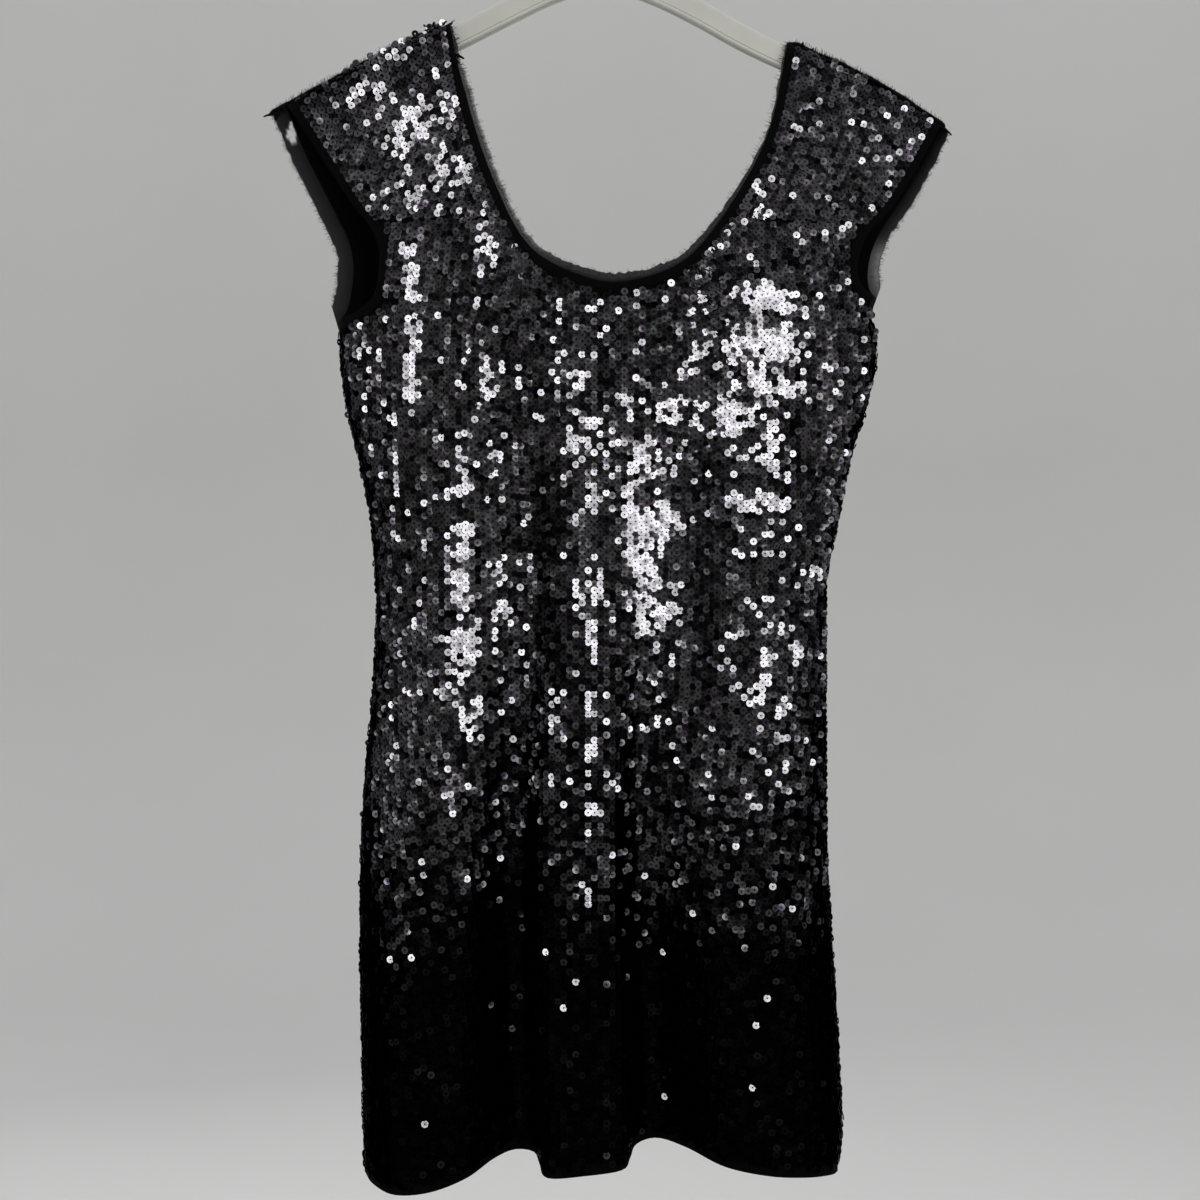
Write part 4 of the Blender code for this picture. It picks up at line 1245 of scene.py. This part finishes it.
def facings(half, places, ways, dice):
    """How each sequin leans, how much light its film gives back, with painted shade and painted highlight in
    it, its tint and how deeply it is cupped.

    A sequin flashes when it faces half way between the lamp and whoever looks. In the gleams most do;
    elsewhere the lean of each on its thread is chance, and nearly all face past the lamp.
    """
    front = half.side < 0
    count = len(places)
    eye = np.array(EYE_FRONT if front else EYE_BACK)
    lamp = np.array(LAMP_FRONT if front else LAMP_BACK)
    mirror = unit(unit(eye - places) + unit(lamp - places))
    bend = np.arccos(np.clip((ways * mirror).sum(axis=1), -1, 1))
    seen = as_seen(places, half.side)
    shaded = share_in(seen, SHADED_FRONT if front else [], UNSHADED)
    flashing = share_in(seen, GLEAMS_FRONT if front else GLEAMS_BACK, LONE_FLASHES)
    glimmering = share_in(seen, GLIMMERS_FRONT if front else GLEAMS_BACK, LONE_GLIMMERS)
    glimmering = glimmering + GLIMMER_IN_GLEAM * flashing
    flash = (clumped(seen, dice) < flashing * (1 - shaded)) & (bend < FLASH_REACH)
    if front:
        for x, z in STRAYS_FRONT:
            flash[np.argmin((seen[:, 0] - x) ** 2 + (seen[:, 2] - z) ** 2)] = True
    glimmer = ~flash & (clumped(seen, dice) < glimmering * (1 - shaded)) & (bend < GLIMMER_REACH)

    leant = turned(ways, USUAL_LEAN, dice)
    near = np.arccos(np.clip((leant * mirror).sum(axis=1), -1, 1))
    away = unit(leant - mirror * (leant * mirror).sum(axis=1, keepdims=True))
    past = np.maximum(near, LEAST_PAST + PAST_SPREAD * dice.random(count))[:, None]
    out = unit(mirror * np.cos(past) + away * np.sin(past))
    out[flash] = turned(mirror[flash], FLASH_LEAN, dice)
    out[glimmer] = turned(mirror[glimmer], GLIMMER_LEAN, dice)

    # Painted shade: the film darkens to black down the skirt and in the shaded streaks, and painted sheen
    # brightens it in glimmers and gleams.
    ragged = seen[:, 2] + read_off(FADE_SHIFT, seen[:, 0]) + dice.normal(0, FADE_RAGGEDNESS, count)
    usual = read_off(PAINTED_FILM_FADE, ragged, 1) * (1 - SHADE_ON_FILM * shaded)
    usual = usual * (FILM_BASE + PAINTED_SHEEN_IN_GLIMMER * glimmering + PAINTED_SHEEN_IN_GLEAM * flashing)
    uneven = PATCH_UNEVENNESS * in_patches(places, UNEVEN_PATCH, dice)
    uneven = uneven + UNEVENNESS * dice.normal(size=count) - UNEVEN_SINK
    light = np.clip(usual * np.exp(read_off(PAINTED_FILM_FADE, ragged) * uneven), *FILM_LIMITS)
    # Painted highlight: glimmering and flashing sequins get brighter film.
    light[glimmer] = dice.uniform(*GLIMMER_LIGHT, glimmer.sum())
    light[flash] = dice.uniform(*FLASH_LIGHT, flash.sum()) ** FLASH_BEND
    cupping = np.where(flash, 1.0, dice.uniform(*USUAL_CUPPING, count))
    tint = (dice.random(count) < TINTED_SHARE) * ~flash * dice.random(count)
    return out, light, tint, cupping


def ring_tree(settings):
    """Geometry nodes that stand a punched ring on each point, faced as the point says."""
    sizes = {
        "Ring radius": settings.width / 2,
        "Hole share": settings.hole / settings.width,
        "Cup depth": settings.cup,
        "Loose lean": settings.looseness,
        "Seed": 1,
    }
    tree, given = start_tree("sequin_rings", sizes)
    circle = add_node(
        tree, "GeometryNodeMeshCircle", {"Vertices": RING_SIDES, "Radius": given["Ring radius"]}, "Mesh"
    )
    rings = add_node(tree, "GeometryNodeExtrudeMesh", {"Mesh": circle, "Offset Scale": 0.0}, mode="EDGES")
    hole = rings.outputs["Top"]
    place = add_node(tree, "GeometryNodeInputPosition", output="Position")
    punch = {
        "Geometry": rings.outputs["Mesh"],
        "Selection": hole,
        "Position": scaled(tree, place, given["Hole share"]),
        "Offset": vector_of(tree, Z=maths(tree, "MULTIPLY", given["Cup depth"], -1.0)),
    }
    ring = add_node(tree, "GeometryNodeSetPosition", punch, "Geometry")
    # Marks the ring's outer points, which the film's painted shade round the hole and painted bright rim
    # read.
    rim = {"Geometry": ring, "Name": "rim", "Value": maths(tree, "SUBTRACT", 1.0, hole)}
    kind = "GeometryNodeStoreNamedAttribute"
    marked = add_node(tree, kind, rim, "Geometry", data_type="FLOAT", domain="POINT")
    cupped = vector_of(tree, X=1.0, Y=1.0, Z=held_value(tree, "cupping"))

    loose = given["Loose lean"]
    low = maths(tree, "MULTIPLY", loose, -1.0)
    chance = {
        0: vector_of(tree, X=low, Y=low, Z=-ANY_TURN),
        1: vector_of(tree, X=loose, Y=loose, Z=ANY_TURN),
        "Seed": given["Seed"],
    }
    lean = add_node(tree, "FunctionNodeRandomValue", chance, 0, data_type="FLOAT_VECTOR")
    rocked = add_node(tree, "FunctionNodeEulerToRotation", {"Euler": lean}, "Rotation")
    turns = {"Rotation": facing_turn(tree), "Rotate By": rocked}
    turn = add_node(tree, "FunctionNodeRotateRotation", turns, "Rotation", rotation_space="LOCAL")
    sewn = stood(tree, given, marked, turn, Scale=cupped)
    smooth = add_node(tree, "GeometryNodeSetShadeSmooth", {"Geometry": sewn}, "Geometry")
    return finish_tree(tree, smooth, pet_sequin_film)


def add_sequins(name, half, settings, tree):
    """All the sequins of one half, strung on upright threads, as two pieces: above and below."""
    dice = np.random.default_rng(settings.seed + (0 if half.side < 0 else 50))
    across, down = settings.across / MM, settings.down / MM
    found = [strung(half.body, half.ways(half.body), thread_columns(half, across), down, *BODY_ENDS, dice)]
    for grid in (half.left_strap, half.right_strap):
        found.append(strung(grid, half.ways(grid), strap_threads(grid, across), down, *STRAP_ENDS, dice))
    if half.side < 0:
        found.append(rolled_over(dice))
    places, ways = (np.vstack(kind) for kind in zip(*found))
    faces, light, tint, cupping = facings(half, places, ways, dice)
    proud = PROUD + PROUD_SPREAD * dice.random(len(places))
    seats = places + ways * proud[:, None]
    upper = places[:, 2] > np.median(places[:, 2])
    for step, (part, kept) in enumerate((("upper", upper), ("lower", ~upper))):
        title = f"{name}_sequins_{part}"
        seeds = seed_points(
            title,
            seats[kept],
            facing=faces[kept],
            film_light=light[kept],
            film_tint=tint[kept],
            cupping=cupping[kept],
        )
        grown(title, seeds, tree, {"Seed": settings.seed + step})


# ---------------------------------------------------------------- threads


def tube(shell, path, radii, sides):
    """Adds a round bar with closed ends along a path to a shell."""
    path = np.asarray(path, float)
    tangents = unit(np.gradient(path, axis=0))
    guide = np.array([0.0, 1.0, 0.0])
    rights = unit(np.cross(tangents, guide) + 1e-9)
    ups = np.cross(rights, tangents)
    turns = np.arange(sides) * 2 * math.pi / sides
    rings = []
    for centre, right, up, radius in zip(path, rights, ups, radii):
        ring = [centre + radius * (right * math.cos(a) + up * math.sin(a)) for a in turns]
        rings.append(shell.add(ring))
    shell.join(rings, closed=True)
    shell.faces.append(tuple(rings[0])[::-1])
    shell.faces.append(tuple(rings[-1]))


def add_ridges(settings):
    """The overlocked shoulder seams: a soft ridge of cloth edges along each shoulder. Returns the places
    and directions of the loops along each."""
    dice = np.random.default_rng(settings.seed)
    shell = Shell()
    loops, ways = [], []
    for first, last in SHOULDER_SEAMS:
        xs = np.arange(first, last, RIDGE_STEP)
        wobble = np.convolve(dice.normal(0, 1, len(xs) + 8), np.ones(9) / 4, "valid")
        heights = shoulder_height(xs) + RIDGE_RISE + RIDGE_WAVE * wobble
        path = np.stack([xs, wobble * RIDGE_SWAY, heights], axis=1)
        ends = np.clip(np.minimum(xs - first, last - xs) / RIDGE_TAPER, 0.25, 1.0) ** 0.5
        tube(shell, path, ends * (RIDGE_RADIUS + RIDGE_SWELL * wobble), 8)
        tangents = unit(np.gradient(path, axis=0))
        loops.append(path[1:-1])
        ways.append(unit(tangents[1:-1] + dice.normal(0, LOOP_SCATTER, (len(xs) - 2, 3))))
    for x, y, z, across, up, length, radius in LOOSE_ENDS:
        way = np.array([across, -LOOSE_FORWARD, up])
        steps = np.linspace(0, 1, LOOSE_STEPS)[:, None]
        bent = np.array([LOOSE_CURL * across, 0.0, -LOOSE_SAG]) * length * steps**2
        path = np.array([x, y, z]) + way * length * steps + bent
        tube(shell, path, radius * np.linspace(1, LOOSE_TIP, LOOSE_STEPS), 5)
    title = "shoulder_overlock"
    seated(title, smooth_mesh(title, shell.points, shell.faces, overlock_thread))
    return loops, ways


def stitch_tree(settings):
    """Geometry nodes that wrap a loop of thread round a seam at each point."""
    sizes = {"Loop radius": settings.loop, "Thread radius": settings.thickness / 2}
    tree, given = start_tree("overlock_loops", sizes)
    kind = "GeometryNodeCurvePrimitiveCircle"
    path = add_node(tree, kind, {"Resolution": 10, "Radius": given["Loop radius"]}, "Curve")
    section = add_node(tree, kind, {"Resolution": 5, "Radius": given["Thread radius"]}, "Curve")
    loop = add_node(tree, "GeometryNodeCurveToMesh", {"Curve": path, "Profile Curve": section}, "Mesh")
    return finish_tree(tree, stood(tree, given, loop, facing_turn(tree)), overlock_thread)


def fray_tree(settings):
    """Geometry nodes that stand a thin bent yarn on each point along a raw edge."""
    sizes = {"Yarn radius": settings.yarn / 2, "Waviness": settings.waviness}
    tree, given = start_tree("frayed_yarns", sizes)
    cone = {"Vertices": 3, "Side Segments": 4, "Radius Top": 0.45, "Radius Bottom": 1.0, "Depth": 1.0}
    yarn = add_node(tree, "GeometryNodeMeshCone", cone, "Mesh", fill_type="TRIANGLE_FAN")
    radius = given["Yarn radius"]
    size = vector_of(tree, X=radius, Y=radius, Z=held_value(tree, "yarn_length"))
    real = stood(tree, given, yarn, facing_turn(tree), Scale=size)
    noise = add_node(tree, "ShaderNodeTexNoise", {"Scale": 420.0, "Detail": 1.0}, "Color")
    middle = {0: noise, 1: (0.5, 0.5, 0.5)}
    centred = add_node(tree, "ShaderNodeVectorMath", middle, "Vector", operation="SUBTRACT")
    bent = {"Geometry": real, "Offset": scaled(tree, centred, given["Waviness"])}
    waved = add_node(tree, "GeometryNodeSetPosition", bent, "Geometry")
    return finish_tree(tree, waved, frayed_gauze_yarn)


def add_frays(label, before, edge, settings, tree):
    """Yarns that stand out of one raw edge, uneven in length and lean."""
    dice = np.random.default_rng(settings.seed + len(label))
    at = lengths(edge)
    stops = np.arange(YARN_MARGIN, at[-1] - YARN_MARGIN, settings.apart / MM)
    stops = stops + dice.normal(0, YARN_SLIP, len(stops))
    roots = between(edge, at, stops)
    ways = unit(roots - between(before, at, stops))
    ways = unit(ways + dice.normal(0, YARN_SCATTER, ways.shape) * [1, YARN_FLATNESS, 1])
    reach = YARN_REACH_NECK if label == "neck" else YARN_REACH
    sizes = (YARN_LEAST + reach * dice.random(len(stops)) ** 2) * MM
    seeds = seed_points(label, roots - ways * YARN_ROOT, facing=ways, yarn_length=sizes)
    return grown(f"{label}_frayed_yarns", seeds, tree)


# ---------------------------------------------------------------- hanger


def add_bead():
    """The thin bead that the mould leaves along the lower edge of both faces of the arms."""
    xs = np.linspace(-BEAD_REACH, BEAD_REACH, 83)
    ups = unit(np.stack([-shoulder_slope(xs, 4), np.zeros_like(xs), np.ones_like(xs)], axis=1))
    tops = np.stack([xs, np.zeros_like(xs), shoulder_height(xs) - ARM_DROP], axis=1)
    depth = read_off(through(ARM_HEIGHTS), np.abs(xs)) - BEAD_RISE
    radii = read_off(BEAD_RADII, np.abs(xs))
    shell = Shell()
    for side in (-1, 1):
        path = tops - ups * depth[:, None] + [0.0, side * (ARM_HALF_THICK - BEAD_SINK), 0.0]
        tube(shell, path, radii, 10)
    title = "hanger_rim_bead"
    mesh = smooth_mesh(title, shell.points, shell.faces, moulded_polypropylene)
    seated(title, mesh)


# ---------------------------------------------------------------- stage


def in_metres(place):
    """A place in millimetres, in metres."""
    return [c * MM for c in place]


def add_sweep():
    """A round sweep of pale paper: floor, cove and low wall in one, open above."""
    turns = np.linspace(0, math.pi / 2, 17)
    cove = [(SWEEP_FLAT + COVE * math.sin(a), SWEEP_FLOOR + COVE * (1 - math.cos(a))) for a in turns]
    wall = [(SWEEP_FLAT + COVE, height) for height in SWEEP_WALL]
    shell = Shell()
    middle = shell.add([(0.0, 0.0, SWEEP_FLOOR)])[0]
    angles = np.arange(SWEEP_SIDES) * 2 * math.pi / SWEEP_SIDES
    rings = [
        shell.add([(radius * math.cos(a), radius * math.sin(a), height) for a in angles])
        for radius, height in cove + wall
    ]
    shell.faces.extend((middle, k, j) for k, j in zip(rings[0], rings[0][1:] + rings[0][:1]))
    shell.join(rings[::-1], closed=True)
    title = "paper_sweep"
    linked(title, smooth_mesh(title, shell.points, shell.faces, seamless_paper))


def add_lamp(name, place, size, power):
    """A square soft lamp, turned to the middle of the dress."""
    lamp = bpy.data.lights.new(name, "AREA")
    lamp.shape = "SQUARE"
    lamp.size = size
    lamp.energy = power
    made = linked(name, lamp)
    made.location = in_metres(place)
    way = Vector(in_metres(DRESS_MIDDLE)) - made.location
    made.rotation_euler = way.to_track_quat("-Z", "Y").to_euler()


def add_camera():
    """The camera where the photographer stood, looking straight ahead."""
    camera = bpy.data.cameras.new("camera")
    camera.lens = LENS
    camera.sensor_width = 36.0
    camera.shift_x = SIDE_SHIFT
    made = linked("camera", camera)
    made.location = in_metres(EYE_FRONT)
    made.rotation_euler = (math.radians(90), 0.0, 0.0)
    bpy.context.scene.camera = made


def add_sky(strength):
    """Soft even light from above and all round."""
    world = bpy.data.worlds.new("soft_sky")
    world.use_nodes = True
    fill(
        world.node_tree,
        world.node_tree.nodes["Background"],
        {"Color": paint("#f2f3f5"), "Strength": strength},
    )
    bpy.context.scene.world = world


# ---------------------------------------------------------------- settings, operators and panel


def number(name, says, default, unit):
    """A setting that the panel shows."""
    return bpy.props.FloatProperty(name=name, description=says, default=default, unit=unit)


class SequinSettings(bpy.types.PropertyGroup):
    width: number("Width", "Across one sequin", 0.005, "LENGTH")
    hole: number("Hole", "Across the punched hole", 0.00105, "LENGTH")
    cup: number("Cup", "How deep the film is cupped", 0.00006, "LENGTH")
    down: number("Down", "From one sequin to the next on its thread", 0.0044, "LENGTH")
    across: number("Across", "From one thread to the next", 0.0041, "LENGTH")
    looseness: number("Looseness", "How far a sequin rocks on its stitch", 0.012, "ROTATION")
    seed: bpy.props.IntProperty(name="Seed", description="Changes every chance lean", default=11)


class ThreadSettings(bpy.types.PropertyGroup):
    loop: number("Loop", "Radius of an overlock loop", 0.0021, "LENGTH")
    thickness: number("Thread", "Across the sewing thread", 0.0005, "LENGTH")
    yarn: number("Yarn", "Across a yarn of the gauze", 0.00045, "LENGTH")
    waviness: number("Waviness", "How far a loose yarn bends", 0.0016, "LENGTH")
    apart: number("Apart", "From one loose yarn to the next", 0.00045, "LENGTH")
    seed: bpy.props.IntProperty(name="Seed", description="Changes every chance bend", default=5)


class StageSettings(bpy.types.PropertyGroup):
    lamp: number("Lamp", "Power of the lamp by the camera", 4.6, "POWER")
    lamp_size: number("Lamp size", "Side of the lamp by the camera", 0.34, "LENGTH")
    back_lamp: number("Back lamp", "Power of the lamp behind", 8.0, "POWER")
    sky: number("Sky", "Strength of the soft light from above", 1.0, "NONE")


class DRESS_OT_cloth(bpy.types.Operator):
    """Makes the knit panels, their bindings, raw edges and hems"""

    bl_idname = "dress.cloth"
    bl_label = "Cloth"

    def execute(self, context):
        threads = context.scene.dress_threads
        frays = fray_tree(threads)
        for name in ("front", "back"):
            half = Half(name)
            panel = add_panel(name, half)
            trims, raw_edges = add_edges(name, half, Half(name, EDGE_GRID, EDGE_STRAP))
            trims.append(add_hem(name, half))
            for label, before, edge in raw_edges:
                trims.append(add_frays(label, before, edge, threads, frays))
        return {"FINISHED"}


class DRESS_OT_sequins(bpy.types.Operator):
    """Strings the sequins over both panels"""

    bl_idname = "dress.sequins"
    bl_label = "Sequins"

    def execute(self, context):
        settings = context.scene.dress_sequins
        tree = ring_tree(settings)
        for name in ("front", "back"):
            add_sequins(name, Half(name), settings, tree)
        return {"FINISHED"}


class DRESS_OT_seams(bpy.types.Operator):
    """Overlocks the shoulder seams and leaves their loose ends"""

    bl_idname = "dress.seams"
    bl_label = "Shoulder seams"

    def execute(self, context):
        threads = context.scene.dress_threads
        seams, ways = add_ridges(threads)
        seeds = seed_points("overlock", np.vstack(seams), facing=np.vstack(ways))
        grown("shoulder_overlock_loops", seeds, stitch_tree(threads))
        frays = bpy.data.node_groups.get("frayed_yarns") or fray_tree(threads)
        for hand, seam in zip(("left", "right"), seams):
            add_frays(f"shoulder_{hand}", seam, seam + [0.0, -0.5, 2.2], threads, frays)
        return {"FINISHED"}


class DRESS_OT_hanger(bpy.types.Operator):
    """Gives the moulded hanger its plastic and its bead"""

    bl_idname = "dress.hanger"
    bl_label = "Hanger"

    def execute(self, context):
        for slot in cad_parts["hanger"].material_slots:
            slot.material = material(moulded_polypropylene)
        add_bead()
        return {"FINISHED"}


class DRESS_OT_stage(bpy.types.Operator):
    """Sets the paper sweep, the lamps and the camera"""

    bl_idname = "dress.stage"
    bl_label = "Stage"

    def execute(self, context):
        settings = context.scene.dress_stage
        add_sweep()
        add_camera()
        add_lamp("lamp_by_camera", LAMP_FRONT, settings.lamp_size, settings.lamp)
        add_lamp("lamp_behind", LAMP_BACK, settings.lamp_size * BACK_LAMP_SHARE, settings.back_lamp)
        add_sky(settings.sky)
        context.scene.view_settings.view_transform = "Standard"
        context.scene.view_settings.look = "None"
        return {"FINISHED"}


class DRESS_PT_panel(bpy.types.Panel):
    """Lists the steps of making the dress, in order"""

    bl_idname = "DRESS_PT_panel"
    bl_label = "Sequin dress"
    bl_space_type = "VIEW_3D"
    bl_region_type = "UI"
    bl_category = "Dress"

    def draw(self, context):
        for step in STEPS:
            self.layout.operator(step.bl_idname)
        for group in GROUPS:
            box = self.layout.box()
            held = getattr(context.scene, group)
            for name in held.bl_rna.properties.keys():
                if name not in ("rna_type", "name"):
                    box.prop(held, name)


STEPS = (DRESS_OT_cloth, DRESS_OT_sequins, DRESS_OT_seams, DRESS_OT_hanger, DRESS_OT_stage)
GROUPS = {
    "dress_sequins": SequinSettings,
    "dress_threads": ThreadSettings,
    "dress_stage": StageSettings,
}


def register():
    for made in (*GROUPS.values(), *STEPS, DRESS_PT_panel):
        bpy.utils.register_class(made)
    for name, group in GROUPS.items():
        setattr(bpy.types.Scene, name, bpy.props.PointerProperty(type=group))


def unregister():
    for name in GROUPS:
        delattr(bpy.types.Scene, name)
    for made in (DRESS_PT_panel, *reversed(STEPS), *GROUPS.values()):
        bpy.utils.unregister_class(made)


def main():
    """Makes the whole dress."""
    register()
    bpy.ops.dress.cloth()
    bpy.ops.dress.sequins()
    bpy.ops.dress.seams()
    bpy.ops.dress.hanger()
    bpy.ops.dress.stage()


if __name__ == "__main__":
    main()
